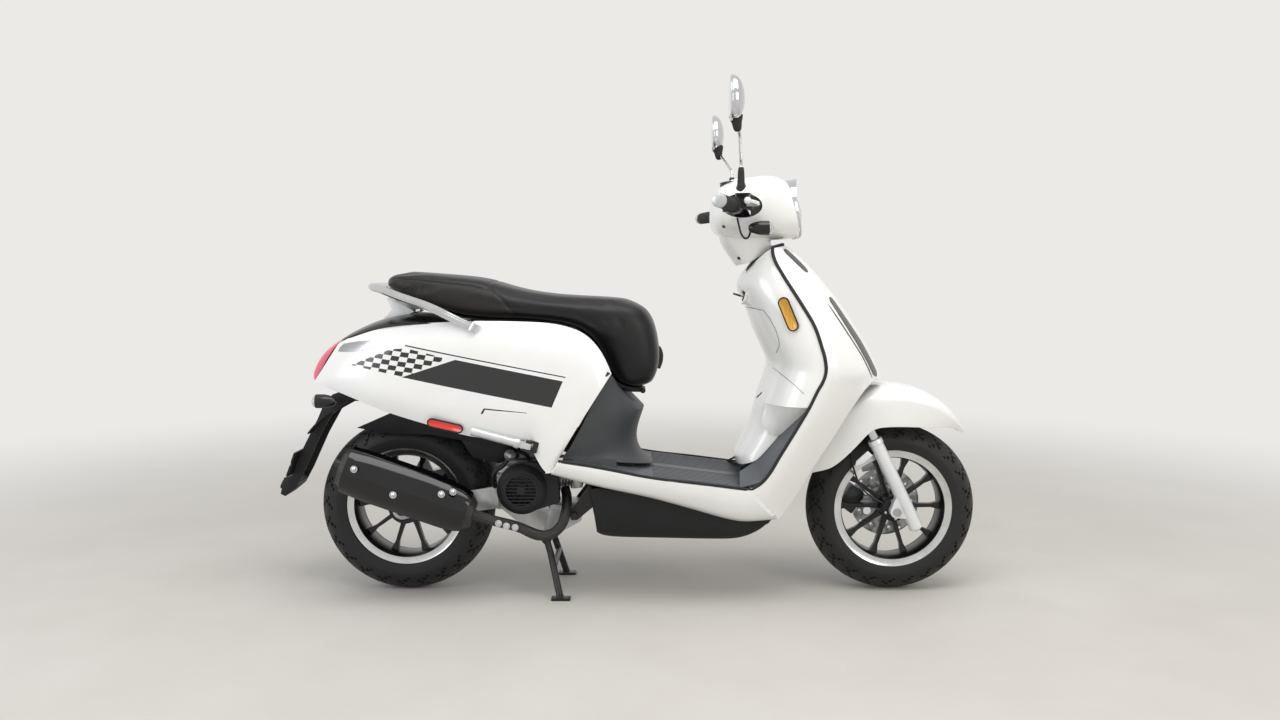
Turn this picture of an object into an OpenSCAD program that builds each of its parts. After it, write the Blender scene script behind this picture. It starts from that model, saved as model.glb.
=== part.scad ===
/* [Wheels] */
// Distance between the two axles
wheelbase = 1320; // [1200:5:1600]
// Outer radius of the front tyre
front_tyre_r = 229; // [200:1:245]
// Width of the front tyre
front_tyre_w = 110; // [80:1:112]
// Outer radius of the rear tyre
rear_tyre_r = 236; // [215:1:245]
// Width of the rear tyre
rear_tyre_w = 120; // [90:1:126]
// Radius of the rim's bead seat, half of a 12 inch rim
bead_r = 152; // [140:1:154]
// Diameter of the front axle
axle_d = 12; // [8:0.5:16]

/* [Steering] */
// Rake of the steering axis from the vertical, in degrees
rake = 26; // [24:0.5:28]
// Distance of the front axle ahead of the steering axis
fork_offset = 22; // [15:1:30]
// Distance of the fork legs ahead of the steering axis
leg_offset = 52; // [45:1:60]
// Distance between the centre lines of the fork legs
leg_spacing = 158; // [150:1:190]
// Diameter of the steering stem
stem_d = 25; // [18:0.5:31]
// Diameter of the handlebar tube
bar_d = 22; // [18:0.5:27]
// Overall width of the handlebar
bar_w = 690; // [575:5:830]

/* [Body] */
// Width of the floor and the leg shield
body_w = 410; // [340:5:500]
// Width of the rear body at its widest
tail_w = 362; // [350:5:440]
// Width of the seat at its widest
seat_w = 290; // [240:5:350]
// Wall thickness of the body panels
panel_t = 3; // [2:0.5:4]

/* [Hidden] */
$fn = 48;

// Clearances
run_gap = 0.05;   // radial clearance of a shaft that turns in a bore
seat_gap = 0.3;   // between pieces that sit on each other

// The nominal floor is stretched with the wheelbase, so points ahead of it follow the front
// wheel and points behind it follow the rear wheel.
nominal_wheelbase = 1320;
floor_rear_x = -180;
floor_front_x = 60;
stretch = (wheelbase - nominal_wheelbase) / 2;
function X(x) = x <= floor_rear_x ? x - stretch
    : x >= floor_front_x ? x + stretch
    : x + stretch * (2 * (x - floor_rear_x) / (floor_front_x - floor_rear_x) - 1);

rear_axle = [X(-597), 0, rear_tyre_r];
front_axle_at = [X(723), 0, front_tyre_r];
nominal_body_w = 410;
nominal_tail_w = 362;
nominal_seat_w = 290;
nominal_leg_spacing = 158;
// Half widths of the body, the tail and the seat at their nominal sizes become the chosen ones
function BW(y) = y * body_w / nominal_body_w;
function TW(y) = y * tail_w / nominal_tail_w;
function SW(y) = y * seat_w / nominal_seat_w;
// How far the space round the front wheel grows with the fork
leg_grow = (leg_spacing - nominal_leg_spacing) / 2;
// Parts of the power unit keep their distance to the rear axle
function EX(x) = x - stretch;

// Steering frame: s runs forward and t runs up along the steering axis, from the point
// where the perpendicular through the front axle meets the axis.
steer_foot = front_axle_at - fork_offset * [cos(rake), 0, sin(rake)];
leg_y = leg_spacing / 2;
module in_fork() translate(steer_foot) rotate([0, -rake, 0]) children();
function fork_pt(s, y, t) = steer_foot + [s * cos(rake) - t * sin(rake), y, s * sin(rake) + t * cos(rake)];

// ---- curves and surfaces ------------------------------------------------------------
function unit(v) = norm(v) < 1e-9 ? [0, 0, 0] : v / norm(v);
function mixed(a, b, u) = a + (b - a) * u;
function bez(a, b, c, d, u) = a * pow(1 - u, 3) + 3 * b * u * pow(1 - u, 2) + 3 * c * u * u * (1 - u) + d * pow(u, 3);
function bez_line(a, b, c, d, n) = [for (k = [0:n]) bez(a, b, c, d, k / n)];
// Catmull-Rom curve through the points, with "per" steps between neighbours
function smooth(p, per) = let (m = len(p) - 1) concat(
    [for (i = [0:m - 1], k = [0:per - 1]) let (u = k / per, a = p[max(i - 1, 0)], b = p[i], c = p[i + 1],
        d = p[min(i + 2, m)]) 0.5 * (2 * b + (c - a) * u + (2 * a - 5 * b + 4 * c - d) * u * u
        + (3 * b - a - 3 * c + d) * pow(u, 3))], [p[m]]);
function mirrored(row) = [for (i = [len(row) - 2:-1:0]) [row[i].x, -row[i].y, row[i].z]];
function both_sides(row) = concat(row, mirrored(row));
function flip_y(p) = [p.x, -p.y, p.z];
function flip_grid(g) = [for (row = g) [for (p = row) flip_y(p)]];
function turned(f) = [for (i = [len(f) - 1:-1:0]) f[i]];

// A sheet of thickness |t| behind a grid of points. Cells for which the mask is false are left out.
module sheet(P, t, mask = function(i, j) true) {
    R = len(P);
    C = len(P[0]);
    function normal(i, j) = unit(cross(P[i][min(j + 1, C - 1)] - P[i][max(j - 1, 0)],
        P[min(i + 1, R - 1)][j] - P[max(i - 1, 0)][j]));
    Q = [for (i = [0:R - 1]) [for (j = [0:C - 1]) P[i][j] - t * normal(i, j)]];
    function a(i, j) = i * C + j;
    function b(i, j) = R * C + i * C + j;
    function on(i, j) = i >= 0 && j >= 0 && i < R - 1 && j < C - 1 && mask(i, j);
    function tri(q) = [[q[0], q[1], q[2]], [q[0], q[2], q[3]]];
    quads = [for (i = [0:R - 2], j = [0:C - 2]) if (on(i, j)) each concat(
        [[a(i, j), a(i + 1, j), a(i + 1, j + 1), a(i, j + 1)], [b(i, j), b(i, j + 1), b(i + 1, j + 1), b(i + 1, j)]],
        on(i, j - 1) ? [] : [[a(i + 1, j), a(i, j), b(i, j), b(i + 1, j)]],
        on(i, j + 1) ? [] : [[a(i, j + 1), a(i + 1, j + 1), b(i + 1, j + 1), b(i, j + 1)]],
        on(i - 1, j) ? [] : [[a(i, j), a(i, j + 1), b(i, j + 1), b(i, j)]],
        on(i + 1, j) ? [] : [[a(i + 1, j + 1), a(i + 1, j), b(i + 1, j), b(i + 1, j + 1)]])];
    faces = [for (q = quads) each tri(t > 0 ? q : turned(q))];
    polyhedron(points = concat([for (r = P) each r], [for (r = Q) each r]), faces = faces);
}

// A closed solid through rings of equal length, each ring counterclockwise about the direction of travel
module loft(rings, flip = false) {
    R = len(rings);
    C = len(rings[0]);
    function mean(r, k = 0, s = [0, 0, 0]) = k == len(r) ? s / k : mean(r, k + 1, s + r[k]);
    pts = concat([for (r = rings) each r], [mean(rings[0]), mean(rings[R - 1])]);
    function a(i, j) = i * C + (j % C);
    faces = concat(
        [for (i = [0:R - 2], j = [0:C - 1]) each [[a(i, j), a(i + 1, j), a(i + 1, j + 1)],
            [a(i, j), a(i + 1, j + 1), a(i, j + 1)]]],
        [for (j = [0:C - 1]) [R * C, a(0, j), a(0, j + 1)]],
        [for (j = [0:C - 1]) [R * C + 1, a(R - 1, j + 1), a(R - 1, j)]]);
    polyhedron(points = pts, faces = flip ? [for (f = faces) turned(f)] : faces);
}

// A round tube along a path, with rings square to the path and no twist
function frames(p, i = 0, n = undef) = let (m = len(p) - 1,
    d = unit(p[min(i + 1, m)] - p[max(i - 1, 0)]),
    start = abs(d.z) > 0.9 ? [1, 0, 0] : [0, 0, 1],
    prev = n == undef ? start : n,
    now = unit(prev - (prev * d) * d))
    i == m ? [[d, now]] : concat([[d, now]], frames(p, i + 1, now));
module tube(path, r, sides = 10) {
    f = frames(path);
    rings = [for (i = [0:len(path) - 1]) let (n = f[i][1], b = cross(f[i][0], n))
        [for (k = [0:sides - 1]) path[i] + r * (cos(360 * k / sides) * n + sin(360 * k / sides) * b)]];
    loft(rings);
}

// A straight bar from one point to another
module bar(p, q, r) {
    d = q - p;
    translate(p) rotate([0, acos(d.z / norm(d)), atan2(d.y, d.x)]) cylinder(r = r, h = norm(d));
}
// A cylinder across the machine, centred on y
module across(x, y, z, r, h) translate([x, y, z]) rotate([90, 0, 0]) cylinder(r = r, h = h, center = true);
// An outline in the side view, extruded from y0 to y1
module side_plate(points, y0, y1) translate([0, y1, 0]) rotate([90, 0, 0]) linear_extrude(y1 - y0) polygon(points);
module mirror_both() {
    children();
    mirror([0, 1, 0]) children();
}

// ---- wheels -------------------------------------------------------------------------
rim_lip_r = bead_r + 13;
spoke_count = 10;
module tyre_at(centre, r, w) translate(centre) rotate([90, 0, 0]) rotate_extrude($fn = 96) {
    crown = w / 2;
    wall = 7;
    bead_y = w * 0.33;
    difference() {
        union() {
            translate([r - crown, 0]) circle(r = crown);
            polygon([[r - crown, -crown * 0.98], [r - crown, crown * 0.98], [bead_r + 8, crown * 0.88],
                [bead_r + 0.3, bead_y], [bead_r + 0.3, -bead_y], [bead_r + 8, -crown * 0.88]]);
        }
        translate([r - crown, 0]) circle(r = crown - wall);
        translate([bead_r - 20, -bead_y + 9]) square([r - crown - bead_r + 20, 2 * bead_y - 18]);
        translate([0, -w]) square([bead_r + 0.2, 2 * w]);
    }
}
module rim_at(centre, w, hub_r, hub_l, bore_r) translate(centre) rotate([90, 0, 0]) {
    half = w * 0.33 + 4;
    difference() {
        union() {
            rotate_extrude($fn = 96) polygon([[rim_lip_r - 24, -half - 3], [rim_lip_r, -half - 3], [rim_lip_r, -half + 1],
                [bead_r, -half + 4], [bead_r, -half + 18], [bead_r - 12, -half + 24], [bead_r - 12, half - 24],
                [bead_r, half - 18], [bead_r, half - 4], [rim_lip_r, half - 1], [rim_lip_r, half + 3],
                [rim_lip_r - 24, half + 3], [rim_lip_r - 24, half - 1], [bead_r - 16, half - 14],
                [bead_r - 16, -half + 14], [rim_lip_r - 24, -half + 1]]);
            cylinder(r = hub_r, h = hub_l, center = true);
            for (k = [0:spoke_count - 1]) rotate([0, 0, k * 360 / spoke_count]) translate([0, 0, -9])
                linear_extrude(18) polygon([[hub_r - 4, -8.5], [hub_r + 22, -5.5], [bead_r - 40, -4.6],
                    [bead_r - 13, -11], [bead_r - 13, 11], [bead_r - 40, 4.6], [hub_r + 22, 5.5], [hub_r - 4, 8.5]]);
        }
        cylinder(r = bore_r, h = hub_l + 20, center = true);
    }
}
hub_r = 34;
front_hub_l = leg_spacing - 66;
bearing_r = 16;
module front_tyre() color("#1d1d1f") tyre_at(front_axle_at, front_tyre_r, front_tyre_w);
module front_rim() color("#161618") {
    rim_at(front_axle_at, front_tyre_w, hub_r, front_hub_l, bearing_r);
    translate(front_axle_at) for (e = [-1, 1]) translate([0, e * (front_hub_l / 2 - 6), 0]) rotate([90, 0, 0])
        difference() {
            cylinder(r = bearing_r - 0.02, h = 12, center = true);
            cylinder(r = axle_d / 2 + run_gap, h = 20, center = true);
        }
}
disc_r = 95;
disc_y = front_hub_l / 2 + 4;
module brake_disc() color("#9a9da0") translate([front_axle_at.x, disc_y, front_axle_at.z]) rotate([90, 0, 0])
    difference() {
        union() {
            cylinder(r = disc_r, h = 4, center = true);
            cylinder(r = 44, h = 7.6, center = true);
        }
        cylinder(r = bearing_r + 8, h = 20, center = true);
        for (k = [0:5]) rotate([0, 0, k * 60 + 30]) translate([56, 0, 0]) cylinder(r = 11, h = 20, center = true);
        for (k = [0:17]) rotate([0, 0, k * 20]) translate([75 + 6 * (k % 2) * 2, 0, 0]) cylinder(r = 3.5, h = 20, center = true);
    }
module front_axle() color("#2a2a2c") translate(front_axle_at) rotate([90, 0, 0]) {
    cylinder(d = axle_d, h = leg_spacing + 44, center = true);
    for (e = [-1, 1]) translate([0, 0, e * (leg_spacing / 2 + 17)]) cylinder(r = axle_d / 2 + 5, h = 9, center = true, $fn = 6);
}

// ---- fork ---------------------------------------------------------------------------
tube_r = 13;
slider_r = 18;
slider_cap = 2;
slider_low = -64;
slider_top = 229;
fork_travel = 60;
lug_t = 24;
module fork_sliders() color("#cfd2d4") in_fork() for (e = [-1, 1]) translate([0, e * leg_y, 0]) difference() {
    union() {
        translate([leg_offset, 0, slider_low]) cylinder(r = slider_r, h = slider_top - slider_low);
        translate([leg_offset, 0, slider_top - 16]) cylinder(r = slider_r + slider_cap, h = 16);
        translate([leg_offset, 0, slider_low - 5]) cylinder(r1 = slider_r - 7, r2 = slider_r, h = 5);
        rotate([90, 0, 0]) translate([0, 0, -lug_t / 2]) linear_extrude(lug_t) {
            translate([fork_offset, 0]) circle(r = 17);
            polygon([[fork_offset - 8, 15], [fork_offset + 30, 52], [fork_offset + 30, -36], [fork_offset - 4, -16.5]]);
        }
        if (e > 0) rotate([90, 0, 0]) translate([0, 0, 2]) linear_extrude(10)
            polygon([[leg_offset - 48, 96], [leg_offset, 84], [leg_offset, 152], [leg_offset - 40, 134]]);
    }
    translate([leg_offset, 0, slider_top - fork_travel - 100]) cylinder(r = tube_r + run_gap, h = fork_travel + 120);
    translate([fork_offset, 0, 0]) rotate([90, 0, 0]) cylinder(d = axle_d + 2 * run_gap, h = 3 * lug_t, center = true);
}
yoke_top = 328;
yoke_low = slider_top + fork_travel + 3;   // under side of the clamps round the fork tubes
head_low = 392;
head_high = 660;
bar_t = 905;
module fork_yoke() color("#b9bcc0") {
    in_fork() {
        difference() {
            union() {
                for (e = [-1, 1]) {
                    translate([leg_offset, e * leg_y, slider_top - 70]) cylinder(r = tube_r, h = yoke_low + 90 - slider_top);
                    translate([leg_offset, e * leg_y, yoke_low]) cylinder(r = tube_r + 4, h = 20);
                }
                translate([-18, 0, 0]) rotate([90, 0, 90]) linear_extrude(leg_offset + 32) polygon([[-leg_y - 8, yoke_low + 1],
                    [-leg_y - 8, yoke_low + 16], [-62, 322], [-40, yoke_top], [40, yoke_top], [62, 322],
                    [leg_y + 8, yoke_low + 16], [leg_y + 8, yoke_low + 1], [leg_y - 14, yoke_low + 1], [56, 302],
                    [-56, 302], [-leg_y + 14, yoke_low + 1]]);
                for (s = [-8, 54], e = [-1, 1]) translate([s, e * 22, yoke_top - 2]) cylinder(r = 7, h = 7);
            }
            translate([0, 0, 250]) cylinder(r = 5, h = 40);
        }
        translate([0, 0, yoke_top - 6]) cylinder(d = stem_d, h = 700 - yoke_top);
        translate([0, 0, head_low - 14]) cylinder(d = stem_d + 16, h = 12);
    }
}

fender_thick = 3;
// Stations round the wheel: angle, ridge radius, shoulder radius, rim radius, half width
fender_stations = [[47, 283, 281, 279, 14], [50, 289, 282, 276, 40], [56, 301, 284, 271, 63], [63, 314, 290, 255, 80],
    [72, 327, 298, 240, 92], [82, 336, 303, 233, 99], [92, 340, 306, 232, 102], [102, 341, 306, 236, 102],
    [109, 340, 305, 236, 102], [118, 338, 302, 218, 101], [128, 332, 298, 208, 98], [138, 324, 290, 207, 94],
    [147, 315, 284, 215, 90], [153, 308, 278, 243, 87], [157, 302, 276, 264, 84]];
function fender_gap(r) = r - 229 + front_tyre_r;
function fender_y(y) = y * (leg_spacing / 2 + 25) / 102;
function fender_row(s) = let (a = s[0], ridge = fender_gap(s[1]), sh = fender_gap(s[2]), low = fender_gap(s[3]),
    w = fender_y(s[4]),
    rz = concat([[-w * 0.985, low], [-w, mixed(low, sh, 0.5)], [-w, mixed(low, sh, 0.85)]],
        [for (k = [0:5]) let (q = 90 * k / 5) [-w * pow(cos(q), 0.75), sh + (ridge - sh) * sin(q)]]))
    [for (p = rz) front_axle_at + [p[1] * cos(a), p[0], p[1] * sin(a)]];
module front_fender() color("white") difference() {
    sheet([for (s = smooth(fender_stations, 1)) both_sides(fender_row(s))], -fender_thick);
    in_fork() translate([0, 0, 300]) cylinder(r = stem_d / 2 + 3, h = 60);
}
module brake_caliper() color("#1a1a1c") in_fork() difference() {
    translate([fork_offset - 82, disc_y, 50]) rotate([90, 0, 0]) rotate([0, 0, 28]) linear_extrude(40, center = true) difference() {
        translate([-34, -24]) square([68, 48]);
        translate([34, -32]) circle(r = 14);
    }
    translate([fork_offset, disc_y, 0]) rotate([90, 0, 0]) cylinder(r = disc_r + 1.5, h = 5.6, center = true);
    translate([leg_offset, leg_y, 0]) cylinder(r = slider_r + 0.5, h = 200);
}
hose_points = [fork_pt(-21.5, 56, 307), fork_pt(-40, 70, 280), fork_pt(-62, 78, 220), fork_pt(-74, 76, 160),
    fork_pt(-78, 68, 118), fork_pt(-74, 58, 96)];
module brake_hose() color("#111111") tube(smooth(hose_points, 3), 3.2, 8);

// ---- leg shield and inner cover -----------------------------------------------------
// Edge where the outer shield and the inner cover meet: x, half width, z
shield_edge = [[384, 88, 928], [386, 106, 902], [404, 130, 862], [428, 152, 820], [455, 171, 774], [479, 186, 730],
    [495, 196, 682], [505, 202, 642], [506, 204, 612], [499, 205, 590], [487, 205, 568], [467, 205, 526],
    [443, 205, 484], [418, 205, 442], [393, 204, 400], [368, 203, 357], [346, 201, 330], [322, 199, 314]];
// Ridge of the nose, then the cut-out over the front fender: x, half width, z
shield_front = [[426, 0, 938], [457, 0, 921], [497, 0, 879], [538, 0, 833], [580, 0, 779], [621, 0, 717],
    [658, 0, 657], [680, 0, 609], [688, 0, 586], [634, 110, 574], [603, 135, 543], [565, 148, 488], [540, 150, 447],
    [513, 153, 407], [493, 152, 374], [474, 149, 342], [444, 145, 288], [397, 152, 226]];
nose_rows = 9;
shield_steps = 9;
function edge_pt(k, y = -1) = [X(shield_edge[k][0]), y * BW(shield_edge[k][1]), shield_edge[k][2]];
function front_pt(k) = [X(shield_front[k][0]), -BW(shield_front[k][1]) - (k >= nose_rows ? leg_grow : 0), shield_front[k][2]];
function nose_row(k) = let (a = edge_pt(k), d = front_pt(k), g = d - a)
    bez_line(a, a + [0.36 * g.x, 0.02 * a.y, 0.36 * g.z], [d.x, 0.44 * a.y, mixed(a.z, d.z, 0.8)], d, shield_steps);
function wing_row(k) = let (a = edge_pt(k), d = front_pt(k), g = d - a)
    bez_line(a, a + [0.34 * g.x, 0.02 * a.y, 0.34 * g.z], a + [0.74 * g.x, 0.62 * g.y, 0.74 * g.z], d, shield_steps - 1);
function shield_half(k) = k < nose_rows ? nose_row(k)
    : let (w = wing_row(k)) concat(w, [[w[shield_steps - 1].x + 12, 0, w[shield_steps - 1].z]]);
module leg_shield() color("white")
    sheet([for (k = [0:len(shield_edge) - 1]) both_sides(shield_half(k))], panel_t,
        function(i, j) i < nose_rows - 1 || (j != shield_steps - 1 && j != shield_steps));

// Back of the inner cover at the middle, from the neck down to the floor: x, z
cover_back = [[326, 866], [305, 851], [298, 832], [309, 804], [327, 776], [338, 736], [354, 698], [374, 660],
    [388, 628], [381, 601], [373, 577], [355, 524], [345, 486], [334, 450], [318, 416], [303, 388], [296, 368],
    [304, 350]];
// Side edge of the knee tunnel under the full width rows: x, half width, z
tunnel_edge = [[446, 118, 498], [424, 116, 470], [404, 114, 442], [382, 112, 414], [361, 110, 389], [345, 108, 372]];
full_rows = 12;
cover_steps = 10;
leg_columns = 4;
edge_seam = panel_t + 0.4;
function cover_edge_pt(k) = k < full_rows ? edge_pt(k) + [0, edge_seam, 0]
    : let (e = tunnel_edge[k - full_rows]) [X(e[0]), -BW(e[1]), e[2]];
function cover_half(k) = let (a = cover_edge_pt(k), c = cover_back[k], d = [X(c[0]), 0, c[1]], g = d - a)
    k < full_rows
    ? bez_line(a, a + [0.45 * g.x, -0.03 * a.y, 0.2 * g.z], [d.x, 0.72 * a.y, mixed(a.z, d.z, 0.9)], d, cover_steps)
    : concat([for (q = [0:leg_columns - 1]) a + [0, -2 * (leg_columns - q), 0]],
        bez_line(a, a + [0.55 * g.x, 0.02 * a.y, 0.4 * g.z], [d.x, 0.7 * a.y, mixed(a.z, d.z, 0.9)], d,
            cover_steps - leg_columns));
lock_at = [X(318), -BW(58), 800];
lock_r = 11;
module lock_frame() translate(lock_at) rotate([0, -72, 0]) children();
module inner_cover() {
    color("white") difference() {
        sheet([for (k = [0:len(cover_back) - 1]) both_sides(cover_half(k))], -panel_t,
            function(i, j) i < full_rows - 1 || (j >= leg_columns && j < 2 * cover_steps - leg_columns));
        lock_frame() cylinder(r = lock_r + 5, h = 80, center = true);
    }
    color("#26282a") lock_frame() difference() {
        union() {
            translate([0, 0, -34]) cylinder(r = lock_r + 6, h = 37);
            translate([0, 0, 1]) cylinder(r = lock_r + 9, h = 5);
        }
        translate([0, 0, -40]) cylinder(r = lock_r + run_gap, h = 60);
    }
}
module ignition_key() color("#26282a") lock_frame() {
    translate([0, 0, -30]) cylinder(r = lock_r, h = 38);
    translate([-1.1, -4, 7]) cube([2.2, 8, 13]);
    translate([0, 0, 25]) rotate([0, 90, 0]) cylinder(r = 11, h = 5, center = true);
}

// ---- floor and seat apron -----------------------------------------------------------
// Near edge of the floor, from under the seat to the top of the toe board: x, z
floor_line = [[-172, 388], [-65, 371], [63, 345], [190, 330], [293, 317], [326, 314]];
toe_line = [[326, 314], [344, 325], [359, 343], [394, 402], [419, 446], [444, 482], [469, 522]];
function xz(list, dx = 0, dz = 0) = [for (p = list) [X(p[0]) + dx, p[1] + dz]];
floor_t = 4;
floor_half = BW(200);
tunnel_half = BW(114);
module floorboard() color("#54575a") {
    difference() {
        side_plate(concat(xz(floor_line), turned(xz(floor_line, 0, -floor_t))), -floor_half, floor_half);
        side_plate(xz([[-190, 300], [-190, 400], [-60, 400], [-60, 300]]), -BW(172), BW(172));
        side_plate(xz([[-80, 300], [-80, 400], [14, 400], [14, 300]]), -BW(112), BW(112));
    }
    mirror_both() side_plate(concat(xz(toe_line), turned(xz(toe_line, 4, -4))), -floor_half, -tunnel_half);
    for (k = [0:8], e = [-1, 1]) side_plate(concat(
        xz([[70, 344.4], [190, 330.2], [293, 317.2], [312, 315.4]], 0, 1.6),
        turned(xz([[70, 344.4], [190, 330.2], [293, 317.2], [312, 315.4]], 0, -1))),
        e * BW(30 + 18 * k) - 4, e * BW(30 + 18 * k) + 4);
}
// Rows of the dark cover under the seat's nose: side edge x, half width, z; middle x, z
apron_rows = [[-44, 168, 612, -14, 542], [-58, 170, 590, 6, 536], [-80, 172, 540, 34, 519], [-95, 173, 508, 50, 505],
    [-112, 174, 474, 40, 476], [-128, 175, 444, 31, 446], [-141, 176, 420, 29, 421], [-152, 177, 404, 34, 398],
    [-162, 178, 394, 46, 376], [-170, 180, 388, 76, 351]];
function apron_half(r) = let (a = [X(r[0]), -SideW(r[1], (apron_rows[0][2] - r[2]) / 224), r[2]], d = [X(r[3]), 0, r[4]],
    g = d - a)
    bez_line(a, a + [0.42 * g.x, -0.16 * a.y, 0.1 * g.z], [d.x, 0.8 * a.y, mixed(a.z, d.z, 0.75)], d, 7);
module seat_apron() color("#54575a")
    sheet([for (r = apron_rows) both_sides(apron_half(r))], -panel_t);

// ---- skirts and belly pan -----------------------------------------------------------
// Top and bottom of the skirt under the floor's edge: x, z at the top; x, half width, z at the bottom
skirt_stations = [[-174, 383.4, -192, 176, 351], [-120, 375, -140, 166, 335], [-65, 366.2, -65, 162, 314],
    [0, 353.2, 0, 158, 300], [63, 340.2, 63, 154, 286], [125, 332.8, 125, 150, 268], [190, 325.2, 191, 148, 249],
    [245, 318.6, 255, 147, 229], [293, 312.2, 306, 147, 219], [308, 310.8, 345, 146, 222], [319, 309.6, 394, 147, 227]];
skirt_steps = 6;
function skirt_row(s) = let (a = [X(s[0]), -BW(199), s[1]], d = [X(s[2]), -BW(s[3]), s[4]], g = d - a)
    bez_line(a, a + [0.1 * g.x, -1, 0.3 * g.z], a + [0.8 * g.x, 0.12 * g.y - 1, 0.86 * g.z], d, skirt_steps);
module side_skirts() color("white") for (flip = [false, true]) {
    g = [for (s = skirt_stations) skirt_row(s)];
    sheet(flip ? flip_grid(g) : g, flip ? panel_t : -panel_t);
}
// Middle x, z of the tub and splash guard; side x, half width, z
belly_stations = [[-94, 280, -96, 134, 300], [-86, 230, -92, 138, 300], [-78, 166, -78, 140, 305],
    [-58, 153, -58, 140, 303], [40, 152, 40, 140, 286], [150, 151, 150, 139, 258], [250, 151, 250, 138, 230],
    [292, 153, 300, 137, 222], [330, 164, 345, 136, 226], [366, 190, 384, 136, 234], [392, 222, 414, 133, 262],
    [408, 262, 436, 137, 296], [420, 310, 462, 141, 346], [430, 360, 486, 145, 384], [444, 420, 510, 143, 424],
    [462, 480, 534, 136, 462], [482, 530, 560, 126, 500]];
guard_row = 11;   // first of these rows that wraps the front wheel
belly_t = 3.5;
function belly_half(k) = let (s = belly_stations[k], a = [X(s[2]), -BW(s[3]) - (k >= guard_row ? leg_grow : 0), s[4]],
    d = [X(s[0]), 0, s[1]], g = d - a)
    bez_line(a, a + [0.85 * g.x, 0.02 * a.y, 0.9 * g.z], [d.x, 0.86 * a.y, d.z], d, 7);
module belly_pan() color("#19191b") difference() {
    sheet([for (k = [0:len(belly_stations) - 1]) both_sides(belly_half(k))], belly_t);
    for (e = [-1, 1]) side_plate([[X(-110), 226], [X(-110), 330], [X(-70), 330], [X(-70), 226]], e * 66 - 4.5, e * 66 + 4.5);
}

function xs(list) = [for (p = list) [X(p[0]), p[1]]];

// ---- rear body ----------------------------------------------------------------------
// Top of the side panel: x, half width, z; bottom of it at the same station
panel_top = [[-756, 72, 681], [-736, 86, 689], [-706, 100, 699], [-655, 122, 716], [-600, 138, 727], [-540, 150, 734],
    [-470, 160, 737], [-400, 166, 741], [-320, 170, 741], [-245, 172, 739], [-190, 173, 736], [-148, 173, 727],
    [-112, 173, 714], [-84, 173, 691], [-62, 172, 661], [-48, 171, 632], [-38, 170, 606]];
panel_low = [[-826, 66, 577], [-800, 84, 570], [-752, 108, 554], [-694, 130, 534], [-625, 148, 507], [-545, 160, 485],
    [-470, 168, 464], [-400, 174, 444], [-320, 178, 440], [-250, 180, 436], [-238, 182, 412], [-226, 184, 386],
    [-212, 186, 362], [-200, 187, 352], [-190, 188, 362], [-182, 186, 376], [-177, 184, 387]];
panel_steps = 12;
// Half width of the part that runs from the seat (u = 0) down to the floor (u = 1)
function SideW(y, u) = mixed(TW(y), BW(y), u);
floor_row = 9;   // last row of the side panel that is clear of the floor
function panel_row(k) = let (T = panel_top[k], B = panel_low[k], reach = min(max((k - floor_row) / 3, 0), 1))
    [for (q = [0:panel_steps]) let (u = pow(q / panel_steps, 1.15), f = min(1, k / 4),
        roll = (u < 0.3 ? pow(1 - u / 0.3, 2) * 24 : 0) * f, tuck = (u > 0.72 ? pow((u - 0.72) / 0.28, 2) * 16 : 0) * f)
        [X(mixed(T[0], B[0], u)), -SideW(mixed(T[1], B[1], u) + 8 - roll - tuck, reach * u), mixed(T[2], B[2], u)]];
module side_panels() color("white") for (flip = [false, true]) {
    g = [for (k = [0:len(panel_top) - 1]) panel_row(k)];
    difference() {
        sheet(flip ? flip_grid(g) : g, flip ? panel_t : -panel_t);
        for (e = [-1, 1]) bar(peg_stub(e)[0], peg_stub(e)[1], peg_stub_r + 0.6);
        mirror_both() peg_frame() translate([-1, -4, -15]) cube([25, 26, 30]);
    }
}
// Dark cover between the panels behind the seat: x, half width, edge z, middle z
trim_stations = [[-759, 52, 684, 688], [-742, 70, 690, 700], [-712, 88, 700, 716], [-672, 108, 713, 734],
    [-620, 124, 725, 751], [-567, 134, 730, 760], [-510, 142, 733, 753], [-440, 148, 733, 734]];
trim_steps = 6;
function trim_half(s) = let (a = [X(s[0]), -TW(s[1]), s[2]], d = [X(s[0]), 0, s[3]])
    bez_line(a, a + [0, 8, (d.z - a.z) * 0.7], [d.x, 0.5 * a.y, d.z], d, trim_steps);
module tail_trim() color("#1b1c1e") difference() {
    sheet([for (s = trim_stations) both_sides(trim_half(s))], panel_t);
    translate([cap_at.x, 0, cap_at.z]) cylinder(r = cap_r + 8, h = 60);
}
// Rear lamp: edge x, half width, middle x, z
lamp_rows = [[-758, 67, -772, 680], [-775, 66, -798, 664], [-792, 64, -822, 640], [-808, 62, -838, 612],
    [-820, 60, -845, 590], [-826, 57, -838, 579]];
function lamp_half(r) = let (a = [X(r[0]), -TW(r[1]), r[3]], d = [X(r[2]), 0, r[3]])
    bez_line(a, [mixed(a.x, d.x, 0.8), 0.9 * a.y, a.z], [d.x, 0.5 * a.y, d.z], d, 5);
lamp_mount_x = -716;
module tail_lamp() {
    color("#c8202c") sheet([for (r = lamp_rows) both_sides(lamp_half(r))], -4);
    color("#1b1c1e") side_plate(xs([[lamp_mount_x - 0.4, 664], [lamp_mount_x - 0.4, 694], [-756, 680], [-780, 660], [-804, 634],
        [-820, 604], [-815, 588], [-770, 588], [-742, 612]]), -TW(44), TW(44));
    color("#1b1c1e") side_plate(xs([[-740, 676], [-771.2, 679.4], [-797.6, 663.8], [-821.6, 639.8], [-837.6, 611.9],
        [-844.6, 590.2], [-815, 590], [-760, 640]]), -TW(12), TW(12));
}

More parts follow.
